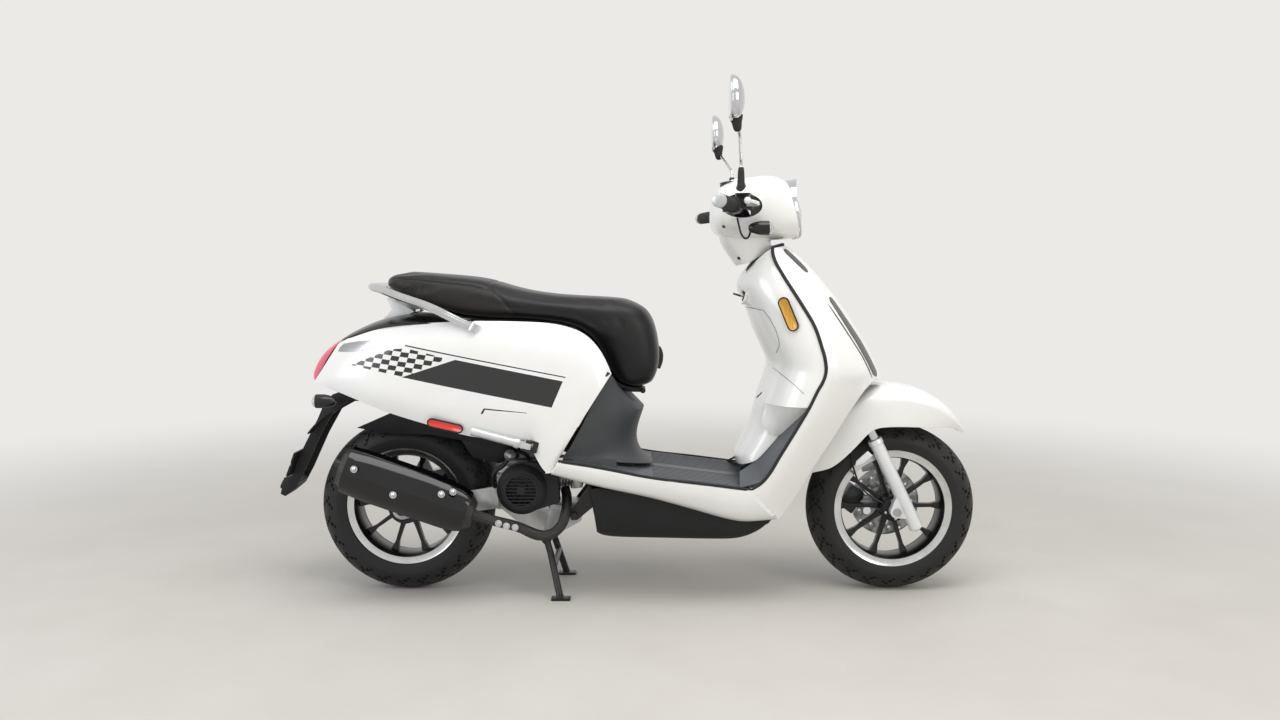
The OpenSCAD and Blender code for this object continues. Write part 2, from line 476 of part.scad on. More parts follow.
// Mudguard over the rear wheel, with the arm that carries the number plate
guard_r = rear_tyre_r + 84;
guard_half = rear_tyre_w / 2 + 16;
plate_hole_r = 3.25;
plate_pcd = 146;
plate_tilt = 20;
plate_at = [X(-892), 0, 357];
arm_outline = [[-735, 545], [-790, 540], [-812, 520], [-832, 474], [-884, 374], [-906, 318], [-928, 312],
    [-938, 268], [-925, 262], [-896, 286], [-872, 330], [-828, 425], [-790, 492], [-735, 522]];
module plate_frame() translate(plate_at) rotate([0, -90 + plate_tilt, 0]) children();
module rear_mudguard() color("#151517") {
    translate([rear_axle.x, 0, rear_axle.z + 8]) intersection() {
        rotate([90, 0, 0]) difference() {
            cylinder(r = guard_r, h = 2 * guard_half, center = true, $fn = 96);
            cylinder(r = guard_r - 4, h = 2 * guard_half + 10, center = true, $fn = 96);
        }
        side_plate([[0, 0], [-340, 262], [-340, 420], [380, 420], [380, 220]], -guard_half - 1, rear_tyre_w / 2 + 8);
    }
    side_plate([for (p = [[-717, 455], [-700, 500], [-640, 545], [-500, 545], [-340, 476], [-300, 420], [-306, 388],
        [-420, 418], [-520, 436], [-640, 440]]) [X(p[0]), p[1]]], -guard_half - 4, -guard_half + 1);
    difference() {
        union() {
            side_plate([for (p = arm_outline) [X(p[0]), p[1]]], -42, 42);
            plate_frame() linear_extrude(5, center = true) difference() {
                square([66, 178], center = true);
                for (e = [-1, 1]) translate([0, e * 89]) circle(r = 6);
            }
            side_plate([[X(-738), 545], [X(-738), 522], [X(-690), 522], [X(-690), 553]], -42, 42);
        }
        side_plate([for (p = [[-700, 540], [-788, 535], [-807, 517], [-827, 472], [-879, 372], [-897, 322], [-890, 300],
            [-850, 300], [-812, 418], [-778, 482], [-735, 508], [-700, 508]]) [X(p[0]), p[1]]], -36, 36);
        plate_frame() for (e = [-1, 1]) translate([0, e * plate_pcd / 2, -60]) cylinder(r = plate_hole_r, h = 100);
    }
}
module reflector(l, w, h) {
    linear_extrude(h) {
        square([l - w, w], center = true);
        for (e = [-1, 1]) translate([e * (l - w) / 2, 0]) circle(d = w);
    }
}
module reflectors() {
    color("#f0a000") mirror_both() translate([X(415), -BW(170.1), 760]) rotate([0, 0, -atan(tan(18) * body_w / nominal_body_w)]) rotate([90, 0, 0])
        rotate([0, 0, -67]) reflector(92, 30, 6);
    color("#c01020") mirror_both() translate([X(-462), -TW(175.8), 475]) rotate([90, 0, 0])
        rotate([0, 0, -13]) reflector(94, 24, 6);
    color("#c01020") plate_frame() translate([-77, 0, 17.6]) rotate([0, 0, 90]) reflector(70, 26, 5);
}

// ---- under the seat -----------------------------------------------------------------
box_half = 116;
box_outline = [[-402, 716], [-402, 545], [-325, 470], [-190, 452], [-130, 470], [-122, 560], [-126, 650], [-160, 716]];
box_inside = [[-398, 730], [-398, 547], [-323, 474], [-190, 456], [-134, 473], [-126, 560], [-130, 649], [-165, 730]];
module helmet_box() color("#202124") difference() {
    union() {
        side_plate(xs(box_outline), -box_half, box_half);
        side_plate(xs([[-406, 716], [-406, 710], [-152, 710], [-152, 716]]), -rail_half + rail_r - 2, rail_half - rail_r + 2);
    }
    side_plate(xs(box_inside), -box_half + 4, box_half - 4);
}
cap_at = [X(-484), 0, 712];
cap_r = 24;
module fuel_tank() color("#1a1a1c") {
    difference() {
        union() {
            side_plate(xs([[-412, 696.6], [-412, 600], [-470, 578], [-640, 598], [-690, 640], [-690, 668], [-600, 696.6]]), -84, 82);
            translate([cap_at.x, 0, 680]) cylinder(r = cap_r, h = cap_at.z - 680);
        }
        side_plate(xs([[-416, 692], [-416, 603], [-470, 582], [-639, 602], [-686, 642], [-686, 665], [-600, 692]]), -80, 78);
        translate([cap_at.x, 0, 670]) cylinder(r = cap_r - 5, h = 100);
    }
}
module fuel_cap() color("#222222") translate(cap_at) {
    translate([0, 0, 0.3]) difference() {
        cylinder(r = cap_r + 3, h = 9);
        for (k = [0:11]) rotate([0, 0, 30 * k]) translate([cap_r + 5, 0, -1]) cylinder(r = 3.6, h = 12);
    }
    translate([0, 0, -14]) cylinder(r = cap_r - 5.4, h = 15);
}
rail_path = [[-384, 166, 724], [-425, 163, 742], [-501, 158, 778], [-578, 150, 804], [-628, 134, 822], [-658, 104, 828],
    [-670, 60, 829], [-672, 0, 829]];
grip_rail_r = 10.5;
module grab_rail() color("#d8dadc") {
    half = [for (p = rail_path) [X(p.x), -TW(p.y), p.z]];
    tube(smooth(concat(half, [for (i = [len(half) - 2:-1:0]) flip_y(half[i])]), 2), grip_rail_r, 10);
    mirror_both() translate([X(-387), -TW(166), 727]) difference() {
        rotate([0, 30, 0]) cylinder(r = 13, h = 22, center = true);
        cylinder(r = 4, h = 60, center = true);
    }
    side_plate(xs([[-668, 819], [-641, 806], [-624, 758], [-566, 762], [-566, 768], [-616, 770], [-633, 814], [-668, 831]]),
        -26, 26);
}

// ---- seat ---------------------------------------------------------------------------
seat_hinge = [X(45), 0, 549];
// Top x, z; bottom x, z; half width
seat_stations = [[-641, 842, -630, 828, 62], [-620, 864, -606, 812, 104], [-575, 866, -568, 800, 122],
    [-510, 861, -505, 776, 134], [-440, 856, -436, 754, 141], [-372, 849, -368, 746, 144], [-325, 832, -320, 746, 143],
    [-262, 815, -258, 744, 141], [-180, 804, -182, 739, 139], [-100, 800, -130, 726, 136], [-30, 797, -98, 704, 130],
    [28, 789, -78, 680, 124], [64, 766, -66, 655, 119], [82, 726, -54, 627, 115], [91, 672, -40, 603, 112],
    [93, 630, -24, 580, 108], [82, 594, 0, 567, 98], [70, 572, 34, 562, 70]];
seat_sides = 20;
function sgn_pow(v, e) = sign(v) * pow(abs(v), e);
function seat_ring(s) = let (T = [X(s[0]), 0, s[1]], B = [X(s[2]), 0, s[3]], c = (T + B) / 2, h = (T - B) / 2)
    [for (k = [0:seat_sides - 1]) let (a = 360 * k / seat_sides, u = sgn_pow(sin(a), sin(a) > 0 ? 0.85 : 0.45))
        c + h * u + [0, -SW(s[4]) * sgn_pow(cos(a), 0.55), 0]];
module seat_cushion() color("#232325") loft([for (s = seat_stations) seat_ring(s)], true);
pan_line = [[-596, 808], [-568, 799.4], [-505, 775.4], [-436, 753.4], [-368, 745.4], [-258, 743.4], [-184, 738.5],
    [-131, 725.2], [-98.6, 703.4], [-78.6, 679.4], [-66.6, 654.6], [-54.6, 626.6], [-40.6, 602.6], [-24.6, 579.2],
    [-0.4, 566.2], [34, 561.4]];
module seat_pan() color("#1c1c1e") {
    side_plate(xs(concat(pan_line, turned([for (p = pan_line) [p[0] - (p[0] > -140 ? 5 : 0), p[1] - (p[0] > -140 ? 2 : 5)]]))),
        -SW(96), SW(96));
    for (e = [-1, 1]) difference() {
        union() {
            across(seat_hinge.x, e * 30, seat_hinge.z, 7, 10);
            side_plate([[seat_hinge.x, seat_hinge.z], [seat_hinge.x, seat_hinge.z + 7], [X(34), 560.4],
                [X(0), 565], [X(0), 559]], e * 30 - 5, e * 30 + 5);
        }
        across(seat_hinge.x, e * 30, seat_hinge.z, 4 + run_gap, 20);
    }
}

// ---- passenger pegs -----------------------------------------------------------------
peg_pivot = [X(-248), -TW(190), 424];
peg_stub_r = 8;
function peg_stub(e) = [[X(-150), e * TW(134), 420], [peg_pivot.x + 14, e * (TW(190) - 16), peg_pivot.z]];
peg_length = 150;
peg_fold = 15;
module peg_frame() translate(peg_pivot) rotate([0, peg_fold, 0]) children();
module peg() {
    peg_frame() difference() {
        union() {
            translate([-peg_length, 0, 0]) rotate([0, 90, 0]) cylinder(r = 11, h = peg_length - 34);
            translate([-36, 0, 0]) rotate([0, 90, 0]) cylinder(r = 13, h = 12);
            translate([-26, -8, -8]) cube([26, 16, 16]);
            translate([0, 0, -8]) cylinder(r = 8, h = 16);
        }
        translate([0, 0, -20]) cylinder(r = 4 + run_gap, h = 40);
    }
}
module passenger_peg_right() color("#c4c6c8") peg();
module passenger_peg_left() color("#c4c6c8") mirror([0, 1, 0]) peg();

// ---- frame --------------------------------------------------------------------------
spine_r = 21;
rail_r = 11;
rail_half = TW(134);
pivot_at = [X(-140), 0, 215];
pivot_r = 6;
shock_top = [X(-500), 102, 612];
shock_foot = [X(-575), 102, 330];
function floor_z(x) = mixed(345, 317, (x - 63) / 230);
spine = [[472, 0, 652], [436, 0, 560], [390, 0, 430], [366, 0, 340], [332, 0, 272], [262, 0, 228], [150, 0, 226],
    [40, 0, 246], [-58, 0, 284]];
rail = [[-58, 40, 284], [-84, 96, 300], [-112, 126, 340], [-150, 134, 420], [-206, 134, 540], [-262, 134, 640],
    [-330, 134, 690], [-430, 134, 706], [-540, 122, 712], [-640, 84, 716]];
hoop = [[-172, 132, 470], [-112, 130, 520], [-70, 104, 538], [-56, 50, 544], [-56, 0, 544]];
function wide(list) = [for (p = list) [X(p.x), -TW(p.y), p.z]];
module main_frame() color("#18181a") {
    in_fork() difference() {
        translate([0, 0, head_low]) cylinder(r = stem_d / 2 + 11, h = head_high - head_low);
        translate([0, 0, head_low - 10]) cylinder(r = stem_d / 2 + 3.5, h = head_high - head_low + 20);
    }
    in_fork() for (t = [head_low, head_high - 14]) translate([0, 0, t]) difference() {
        cylinder(r = stem_d / 2 + 3.48, h = 14);
        translate([0, 0, -5]) cylinder(r = stem_d / 2 + run_gap, h = 30);
    }
    difference() {
        tube(smooth([for (p = spine) [X(p.x), p.y, p.z]], 2), spine_r, 12);
        in_fork() translate([0, 0, head_low - 10]) cylinder(r = stem_d / 2 + 3.5, h = head_high - head_low + 20);
    }
    for (flip = [false, true]) {
        r = wide(rail);
        tube(smooth(flip ? [for (p = r) flip_y(p)] : r, 2), rail_r, 8);
    }
    h = wide(hoop);
    tube(smooth(concat(h, [for (i = [len(h) - 2:-1:0]) flip_y(h[i])]), 2), 8, 8);
    across(X(-58), 0, 284, 14, TW(90));
    across(X(-430), 0, 706, 9, 2 * rail_half - 6);
    across(X(-636), 0, 716, 9, TW(166));
    for (x = [60, 250]) {
        across(X(x), 0, floor_z(x) - floor_t - seat_gap - 8, 8, 2 * floor_half - 24);
        translate([X(x), 0, 240]) cylinder(r = 12, h = floor_z(x) - 252);
    }
    // seat hinge
    side_plate([[X(-60), 546], [X(-60), 557], [seat_hinge.x, seat_hinge.z + 6], [seat_hinge.x, seat_hinge.z - 5]], -22, 22);
    across(seat_hinge.x, 0, seat_hinge.z, 6, 44);
    across(seat_hinge.x, 0, seat_hinge.z, 4, 74);
    // engine hanger with its bolt
    for (e = [-1, 1]) side_plate([[X(-44), 276], [X(-44), 300], [X(-92), 306], [pivot_at.x - 14, 222], [pivot_at.x - 8, 203],
        [pivot_at.x + 8, 203]], e * 66 - 4, e * 66 + 4);
    across(pivot_at.x, 0, pivot_at.z, pivot_r, 156);
    for (e = [-1, 1]) across(pivot_at.x, e * 74, pivot_at.z, 10, 8);
    across(X(-62), 0, 284, 12, 140);
    // shock mount
    side_plate([[X(-476), 716], [X(-536), 718], [shock_top.x - 12, shock_top.z - 6], [shock_top.x, shock_top.z - 12],
        [shock_top.x + 12, shock_top.z - 4]], rail_half - 8, rail_half);
    across(shock_top.x, (shock_top.y - 14 + rail_half) / 2, shock_top.z, 5, rail_half - shock_top.y + 14);
    // struts to the leg shield, its inner cover and the tail lamp
    bar([X(496), 0, 690], [X(634), 0, 690], 9);
    bar([X(452), 0, 690], [X(361), 0, 690], 9);
    bar([X(-520), -TW(122), 708], [X(-520), -guard_half - 2, 530], 5);
    bar([X(-698), 0, 690], [X(-724), 0, 540], 7);
    side_plate(xs([[-630, 712], [-634, 724], [lamp_mount_x, 694], [lamp_mount_x, 680]]), -20, 20);
    // peg mounts
    mirror_both() {
        bar(peg_stub(-1)[0], peg_stub(-1)[1], peg_stub_r);
        peg_frame() difference() {
            union() {
                for (e = [-1, 1]) translate([0, 0, e * 11.3 - 2.8]) linear_extrude(5.6) {
                    circle(r = 9);
                    translate([0, 0]) square([22, 18]);
                }
                translate([11, 2, -14.1]) cube([11, 16, 28.2]);
            }
        }
        peg_frame() cylinder(r = 4, h = 26, center = true);
    }
}

// ---- handlebar group ----------------------------------------------------------------
bar_at = fork_pt(0, 0, bar_t);
bar_bend = 95;
bar_sweep = 18.2;
bar_end = (bar_w / 2 - bar_bend) / cos(bar_sweep);
grip_l = 128;
grip_start = bar_end - grip_l - 4;
// e is -1 on the right and 1 on the left; x runs ahead of the bar and y outwards times e
module bar_frame(e) translate([bar_at.x, e * bar_bend, bar_at.z]) rotate([0, 0, e * bar_sweep]) children();
module along(e, y0, y1, r) translate([0, e * (y0 + y1) / 2, 0]) rotate([90, 0, 0]) cylinder(r = r, h = y1 - y0, center = true);
mirror_base_y = 128;
mirror_base_x = bar_at.x - (mirror_base_y - bar_bend) * tan(bar_sweep);
mirror_base_z = bar_at.z + 29;
module handlebar() color("#202022") {
    across(bar_at.x, 0, bar_at.z, bar_d / 2, 2 * bar_bend);
    for (e = [-1, 1]) {
        bar_frame(e) along(e, 0, bar_end, bar_d / 2);
        translate([bar_at.x, e * bar_bend, bar_at.z]) sphere(r = bar_d / 2 + 0.2);
        bar_frame(e) along(e, bar_end, bar_end + 9, bar_d / 2 + 5);
        translate([mirror_base_x, e * mirror_base_y, bar_at.z + 4]) cylinder(r = 9, h = mirror_base_z - bar_at.z - 4);
    }
    in_fork() difference() {
        translate([0, 0, 674]) cylinder(d = stem_d + 14, h = bar_t - 674);
        translate([0, 0, 670]) cylinder(d = stem_d + 0.1, h = 24.05 + 0.3);
    }
}
// Sections of the headlight pod: low x, high x, half width, low z, high z
pod_stations = [[224, 228, 24, 1014, 1056], [227, 238, 78, 996, 1074], [233, 248, 116, 978, 1088], [247, 263, 138, 964, 1099],
    [272, 290, 149, 956, 1106], [310, 322, 152, 953, 1112], [350, 352, 140, 953, 1123], [392, 384, 116, 954, 1125],
    [428, 408, 94, 956, 1118], [461, 424, 80, 960, 1108]];
pod_sides = 20;
function pod_ring(s, in) = [for (k = [0:pod_sides - 1]) let (a = 360 * k / pod_sides,
    u = sgn_pow(sin(a), 0.72), z = mixed(s[3] + in, s[4] - in, (u + 1) / 2))
    [X(mixed(s[0], s[1], (u + 1) / 2)), -(s[2] - in) * sgn_pow(cos(a), 0.78), z]];
// Neck: rear x, z; front x, z; half width
neck_stations = [[300, 879, 393, 935, 60], [289, 893, 391, 940, 63], [266, 924, 389, 952, 66], [250, 950, 398, 964, 70],
    [246, 985, 404, 990, 72]];
function neck_ring(s, in, drop = 0) = let (r = [X(s[0]) + in, 0, s[1] - drop], f = [X(s[2]) - in, 0, s[3] - drop],
    c = (r + f) / 2, h = (f - r) / 2)
    [for (k = [0:pod_sides - 1]) let (a = 360 * k / pod_sides)
        c + h * sgn_pow(sin(a), 0.8) + [0, -(s[4] - in) * sgn_pow(cos(a), 0.8), 0]];
lamp_at = [X(442), 0, 1034];
lamp_lean = 75.7;
lamp_r = 70;
gauge_at = [X(294), 0, 1103];
gauge_lean = -7;
gauge_r = 42;
module lamp_frame() translate(lamp_at) rotate([0, lamp_lean, 0]) children();
module handlebar_cowl() color("white") {
    for (e = [-1, 1]) translate([bar_at.x, e * 64, bar_at.z + bar_d / 2 + 0.2]) cylinder(r = 6, h = 1104 - bar_at.z - bar_d / 2);
    lamp_frame() translate([0, 0, -13]) difference() {
        cylinder(r = 76, h = 12);
        translate([0, 0, -1]) cylinder(r = lamp_r + 0.4, h = 20);
    }
    cowl_shell();
}
module cowl_shell() difference() {
    union() {
        loft([for (s = pod_stations) pod_ring(s, 0)], true);
        loft([for (s = neck_stations) neck_ring(s, 0)]);
    }
    loft(concat([[for (p = pod_ring(pod_stations[0], panel_t)) p + [panel_t, 0, 0]]],
        [for (k = [1:8]) [for (p = pod_ring(pod_stations[k], panel_t)) p + [k < 4 ? panel_t : 0, 0, 0]]],
        [[for (p = pod_ring(pod_stations[9], panel_t)) p + [10, 0, 0]]]), true);
    loft([neck_ring(neck_stations[0], panel_t, 12), neck_ring(neck_stations[1], panel_t, 0),
        neck_ring(neck_stations[2], panel_t, 0), neck_ring(neck_stations[3], panel_t, 0),
        neck_ring(neck_stations[4], panel_t, 0)]);
    for (e = [-1, 1]) {
        for (dx = [-24, 0, 20]) across(bar_at.x - 12 + dx, e * 150, bar_at.z + 2, 30, 110);
        translate([mirror_base_x, e * mirror_base_y, bar_at.z]) cylinder(r = 12.5, h = 120);
    }
    translate(gauge_at) rotate([0, gauge_lean, 0]) translate([0, 0, -25]) cylinder(r = gauge_r + 0.4, h = 60);
}
module headlight_lens() color("#e8f0f4", 0.4) lamp_frame() intersection() {
    translate([0, 0, 26 - 120]) difference() {
        sphere(r = 120);
        sphere(r = 117);
    }
    translate([0, 0, -6]) cylinder(r = lamp_r, h = 40);
}
module speedometer() color("#303234") translate(gauge_at) rotate([0, gauge_lean, 0]) difference() {
    translate([0, 0, -20]) cylinder(r = gauge_r, h = 27);
    translate([0, 0, 4]) cylinder(r = gauge_r - 5, h = 10);
}
housing_l = 46;
housing_start = grip_start - housing_l - 2;
pivot_out = housing_start + 16;
pivot_ahead = 36;
lever_t = 8;
switch_throw = 5;
module switch_housings() color("#161618") for (e = [-1, 1]) bar_frame(e) difference() {
    union() {
        along(e, housing_start, housing_start + housing_l, 21);
        translate([-26, e > 0 ? housing_start + 4 : -housing_start - housing_l + 4, -17]) cube([20, housing_l - 8, 34]);
        for (f = [-1, 1]) translate([0, 0, f * (lever_t / 2 + 3.2) - 3]) linear_extrude(6) {
            translate([pivot_ahead, e * pivot_out]) circle(r = 9);
            translate([8, e * pivot_out - 9]) square([pivot_ahead - 8, 18]);
        }
        translate([pivot_ahead, e * pivot_out, 0]) cylinder(r = 3, h = 26, center = true);
        if (e < 0) translate([20, -housing_start - 12, 6]) {
            translate([-16, -14, 0]) cube([32, 30, 20]);
            translate([-18, -16, 20]) cube([36, 34, 4]);
        }
    }
    along(e, 0, bar_end + 20, bar_d / 2 + 0.02);
    translate([-30, e * (housing_start + housing_l / 2), 0]) rotate([0, 90, 0]) translate([-6, 0, 0]) cylinder(r = 5.4, h = 14);
    if (e > 0) translate([-30, housing_start + housing_l / 2, 0]) {
        rotate([0, 90, 0]) translate([8, 0, 0]) cylinder(r = 5.4, h = 14);
        translate([0, -5.4 - switch_throw, 0.6]) cube([14, 2 * (5.4 + switch_throw), 10.8]);
    }
}
module button(e, up) bar_frame(e) translate([-29.5, e * (housing_start + housing_l / 2), up]) rotate([0, 90, 0]) {
    cylinder(r = 5, h = 9);
}
module start_button() color("#b0b4b8") button(-1, 6);
module horn_button() color("#d0d0d0") button(1, -8);
module turn_switch() color("#c8c8c8") button(1, 6);
module grip_solid(e, gap) bar_frame(e) difference() {
    union() {
        along(e, grip_start, grip_start + grip_l, 16);
        along(e, grip_start, grip_start + 6, 21);
        for (k = [0:7]) along(e, grip_start + 18 + 13 * k, grip_start + 24 + 13 * k, 16.8);
    }
    along(e, 0, bar_end + 20, bar_d / 2 + gap);
}
module left_grip() color("#141414") grip_solid(1, 0.02);
module throttle_grip() color("#141414") grip_solid(-1, run_gap);
lever_reach = grip_l + 16;
module brake_lever(e) bar_frame(e) translate([pivot_ahead, e * pivot_out, 0]) difference() {
    union() {
        cylinder(r = 8, h = lever_t, center = true);
        linear_extrude(lever_t, center = true) mirror([0, e > 0 ? 0 : 1, 0])
            polygon([[0, -8], [9, -6], [26, 16], [35, 46], [36, 90], [32, lever_reach], [22, lever_reach],
                [26, 90], [25, 52], [15, 24], [-6, 6]]);
        translate([27, e * (lever_reach + 3), 0]) sphere(r = 8.5);
    }
    cylinder(r = 3 + run_gap, h = 30, center = true);
}
module brake_lever_right() color("#c8cacc") brake_lever(-1);
module brake_lever_left() color("#c8cacc") brake_lever(1);
signal_at = [X(338), 166, 978];
module front_turn_signals() for (e = [-1, 1]) translate([signal_at.x, e * signal_at.y, signal_at.z]) {
    color("#161616") rotate([0, 90, 0]) {
        translate([0, 0, -6]) cylinder(r1 = 12, r2 = 18, h = 14);
        translate([0, 0, -14]) sphere(r = 12.5);
        translate([0, 0, 8]) cylinder(r = 18, h = 18);
    }
    color("#161616") rotate([e * 90, 0, 0]) translate([0, -2, 8]) cylinder(r = 7, h = 42);
    color("#e8e8e8") translate([26.2, 0, 0]) rotate([0, 90, 0]) intersection() {
        translate([0, 0, -14]) sphere(r = 24);
        cylinder(r = 17.4, h = 30);
    }
}
rear_signal_at = [X(-786), 112, 530];
module rear_turn_signals() for (e = [-1, 1]) translate([rear_signal_at.x, e * rear_signal_at.y, rear_signal_at.z]) {
    color("#161616") rotate([0, -90, 0]) {
        translate([0, 0, -6]) cylinder(r1 = 12, r2 = 18, h = 14);
        translate([0, 0, -14]) sphere(r = 12.5);
        translate([0, 0, 8]) cylinder(r = 18, h = 12);
    }
    color("#161616") rotate([e * 90, 0, 0]) translate([0, 0, 8]) cylinder(r = 7, h = rear_signal_at.y - 50);
    color("#e8e8e8") translate([-20.2, 0, 0]) rotate([0, -90, 0]) intersection() {
        translate([0, 0, -14]) sphere(r = 24);
        cylinder(r = 17.4, h = 30);
    }
}
mirror_ball = [X(272), 280, 1216];
module mirror_stems() color("#cfd1d3") for (e = [-1, 1]) {
    base = [mirror_base_x, e * mirror_base_y, mirror_base_z + 0.1];
    translate(base) cylinder(r = 7, h = 18);
    translate([base.x, base.y, base.z + 12]) cylinder(r1 = 10, r2 = 7, h = 62);
    tube(smooth([[base.x, base.y, base.z + 60], [base.x - 1, base.y + e * 4, 1152], [base.x - 6, e * 162, 1166],
        [mirror_ball.x + 10, e * 230, 1194], [mirror_ball.x, e * mirror_ball.y, mirror_ball.z]], 2), 4.2, 8);
    translate([mirror_ball.x, e * mirror_ball.y, mirror_ball.z]) sphere(r = 8);
}
// Outline of the mirror head: half width at each height above its foot
head_outline = [[-14, 0], [-40, 12], [-53, 34], [-55, 56], [-46, 80], [-30, 98], [-12, 108], [0, 110], [12, 107],
    [28, 98], [43, 80], [51, 56], [49, 34], [38, 12], [14, 0]];
head_layers = [[0, 0.97], [3, 1], [10, 0.99], [19, 0.9], [27, 0.72], [33, 0.42], [35, 0.14]];
module mirror_head(e) {
    foot = [mirror_ball.x - 20, mirror_ball.y + 18, mirror_ball.z + 8];
    mirror([0, e < 0 ? 1 : 0, 0]) difference() {
        union() {
            loft([for (l = head_layers) [for (p = turned(head_outline))
                foot + [l[0], p[0] * l[1], 48 + (p[1] - 48) * l[1]]]], false);
            translate([mirror_ball.x, mirror_ball.y, mirror_ball.z + 6]) cylinder(r1 = 9, r2 = 15, h = 14);
            translate([mirror_ball.x, mirror_ball.y, mirror_ball.z]) sphere(r = 12);
        }
        translate([mirror_ball.x, mirror_ball.y, mirror_ball.z]) {
            sphere(r = 8 + run_gap);
            bar([0, 0, 0], [8, -42, -18], 7.6);
        }
    }
}
module mirror_head_right() color("#d4d6d8") mirror_head(-1);
module mirror_head_left() color("#d4d6d8") mirror_head(1);

// ---- power unit ---------------------------------------------------------------------
crank_at = [X(-273), 0, 299];
case_in = rear_tyre_w / 2 + 8;
case_out = case_in + 42;
module case_outline(grow) {
    translate([rear_axle.x, rear_axle.z]) circle(r = 62 + grow);
    translate([crank_at.x, crank_at.z]) circle(r = 78 + grow);
    polygon([[rear_axle.x + 4, rear_axle.z + 62 + grow], [crank_at.x - 8, crank_at.z + 78 + grow],
        [crank_at.x + 8, crank_at.z - 78 - grow], [rear_axle.x - 4, rear_axle.z - 62 - grow]]);
}
module case_plate(y0, y1, grow) translate([0, y1, 0]) rotate([90, 0, 0]) linear_extrude(y1 - y0) case_outline(grow);
stand_at = [X(-215), 0, 150];
rear_axle_r = 8;
module crankcase() color("#8f9296") {
    difference() {
        union() {
            case_plate(case_in, case_out, 0);
            side_plate(xs([[-345, 236], [-345, 345], [-215, 352], [-205, 240], [-190, 200], [-200, 172], [-250, 158]]),
                -52, case_in + 2);
            side_plate(xs([[-215, 170], [-215, 242], [-123, 238], [-123, 196], [-180, 164]]), -52, 58);
            side_plate([[stand_at.x - 22, stand_at.z + 30], [stand_at.x + 22, stand_at.z + 30], [stand_at.x + 13, stand_at.z],
                [stand_at.x - 13, stand_at.z]], -52, 58);
            side_plate(xs([[-345, 236], [-345, 330], [-225, 330], [-205, 236]]), -84, -50);
            across(pivot_at.x, 0, pivot_at.z, 17, 116);
            across(stand_at.x, 0, stand_at.z, 15, 116);
            side_plate([[shock_foot.x - 13, shock_foot.z + 6], [shock_foot.x - 44, rear_axle.z + 40],
                [shock_foot.x + 44, rear_axle.z + 40], [shock_foot.x + 13, shock_foot.z + 6],
                [shock_foot.x, shock_foot.z + 12]], 80, 91);
        }
        across(pivot_at.x, 0, pivot_at.z, pivot_r + run_gap, 200);
        across(stand_at.x, 0, stand_at.z, 6 + run_gap, 200);
        for (e = [-1, 1]) across(stand_at.x, e * 66, stand_at.z, 16, 14);
        across(rear_axle.x, 60, rear_axle.z, rear_axle_r + run_gap, 200);
    }
    across(shock_foot.x, 101, shock_foot.z, 5, 22);
    // arm on the right that carries the outer end of the axle and the muffler
    difference() {
        union() {
            side_plate([[X(-340), 240], [X(-340), 300], [rear_axle.x + 6, rear_axle.z + 24], [rear_axle.x, rear_axle.z - 24]],
                -92.4, -84.4);
            across(rear_axle.x, -86.4, rear_axle.z, 26, 12);
        }
        across(rear_axle.x, -86.4, rear_axle.z, rear_axle_r + run_gap, 60);
    }
}
module belt_cover() color("#26282a") difference() {
    union() {
        case_plate(case_out, case_out + 26, -3);
        translate([crank_at.x, case_out + 26, crank_at.z]) rotate([-90, 0, 0]) cylinder(r1 = 60, r2 = 52, h = 6);
        translate([rear_axle.x + 30, case_out + 26, rear_axle.z + 8]) rotate([-90, 0, 0]) cylinder(r1 = 44, r2 = 38, h = 6);
    }
    case_plate(case_out - 1, case_out + 22, -7);
}
fan_y = -100;
grille_r = 40;
shroud_in = fan_y + 84.3;
module fan_shroud() color("#1a1a1c") difference() {
    union() {
        translate([crank_at.x, fan_y, crank_at.z]) rotate([90, 0, 0]) {
            translate([0, 0, shroud_in]) cylinder(r = 66, h = 30 - shroud_in);
            translate([0, 0, 30]) cylinder(r1 = 66, r2 = 52, h = 14);
            translate([0, 0, 44]) cylinder(r = grille_r + 5, h = 5);
        }
        side_plate([[crank_at.x - 20, crank_at.z + 55], [crank_at.x + 20, crank_at.z + 72], [crank_at.x + 94, crank_at.z + 58],
            [crank_at.x + 98, crank_at.z - 36], [crank_at.x + 30, crank_at.z - 58]], fan_y - 26, fan_y - shroud_in);
    }
    translate([crank_at.x, fan_y, crank_at.z]) rotate([90, 0, 0]) {
        translate([0, 0, shroud_in - 1]) cylinder(r = 60, h = 30 - shroud_in);
        difference() {
            cylinder(r = grille_r, h = 80);
            for (k = [-4:4]) translate([-grille_r - 5, k * 9 - 1.6, 44]) cube([2 * grille_r + 10, 3.2, 4]);
            translate([0, 0, 44]) cylinder(r = 11, h = 4.5);
        }
    }
    side_plate([[crank_at.x - 10, crank_at.z + 52], [crank_at.x + 20, crank_at.z + 68], [crank_at.x + 90, crank_at.z + 54],
        [crank_at.x + 94, crank_at.z - 32], [crank_at.x + 30, crank_at.z - 54]], fan_y - 22, fan_y - shroud_in + 1);
}
module cooling_fan() color("#303236") translate([crank_at.x, fan_y - 4, crank_at.z]) rotate([90, 0, 0]) difference() {
    union() {
        translate([0, 0, 0]) cylinder(r = 56, h = 3);
        cylinder(r = 14, h = 22);
        for (k = [0:13]) rotate([0, 0, k * 360 / 14]) translate([34, -1.2, 2]) cube([21, 2.4, 18]);
    }
    translate([0, 0, -1]) cylinder(r = 7 + run_gap, h = 16);
}
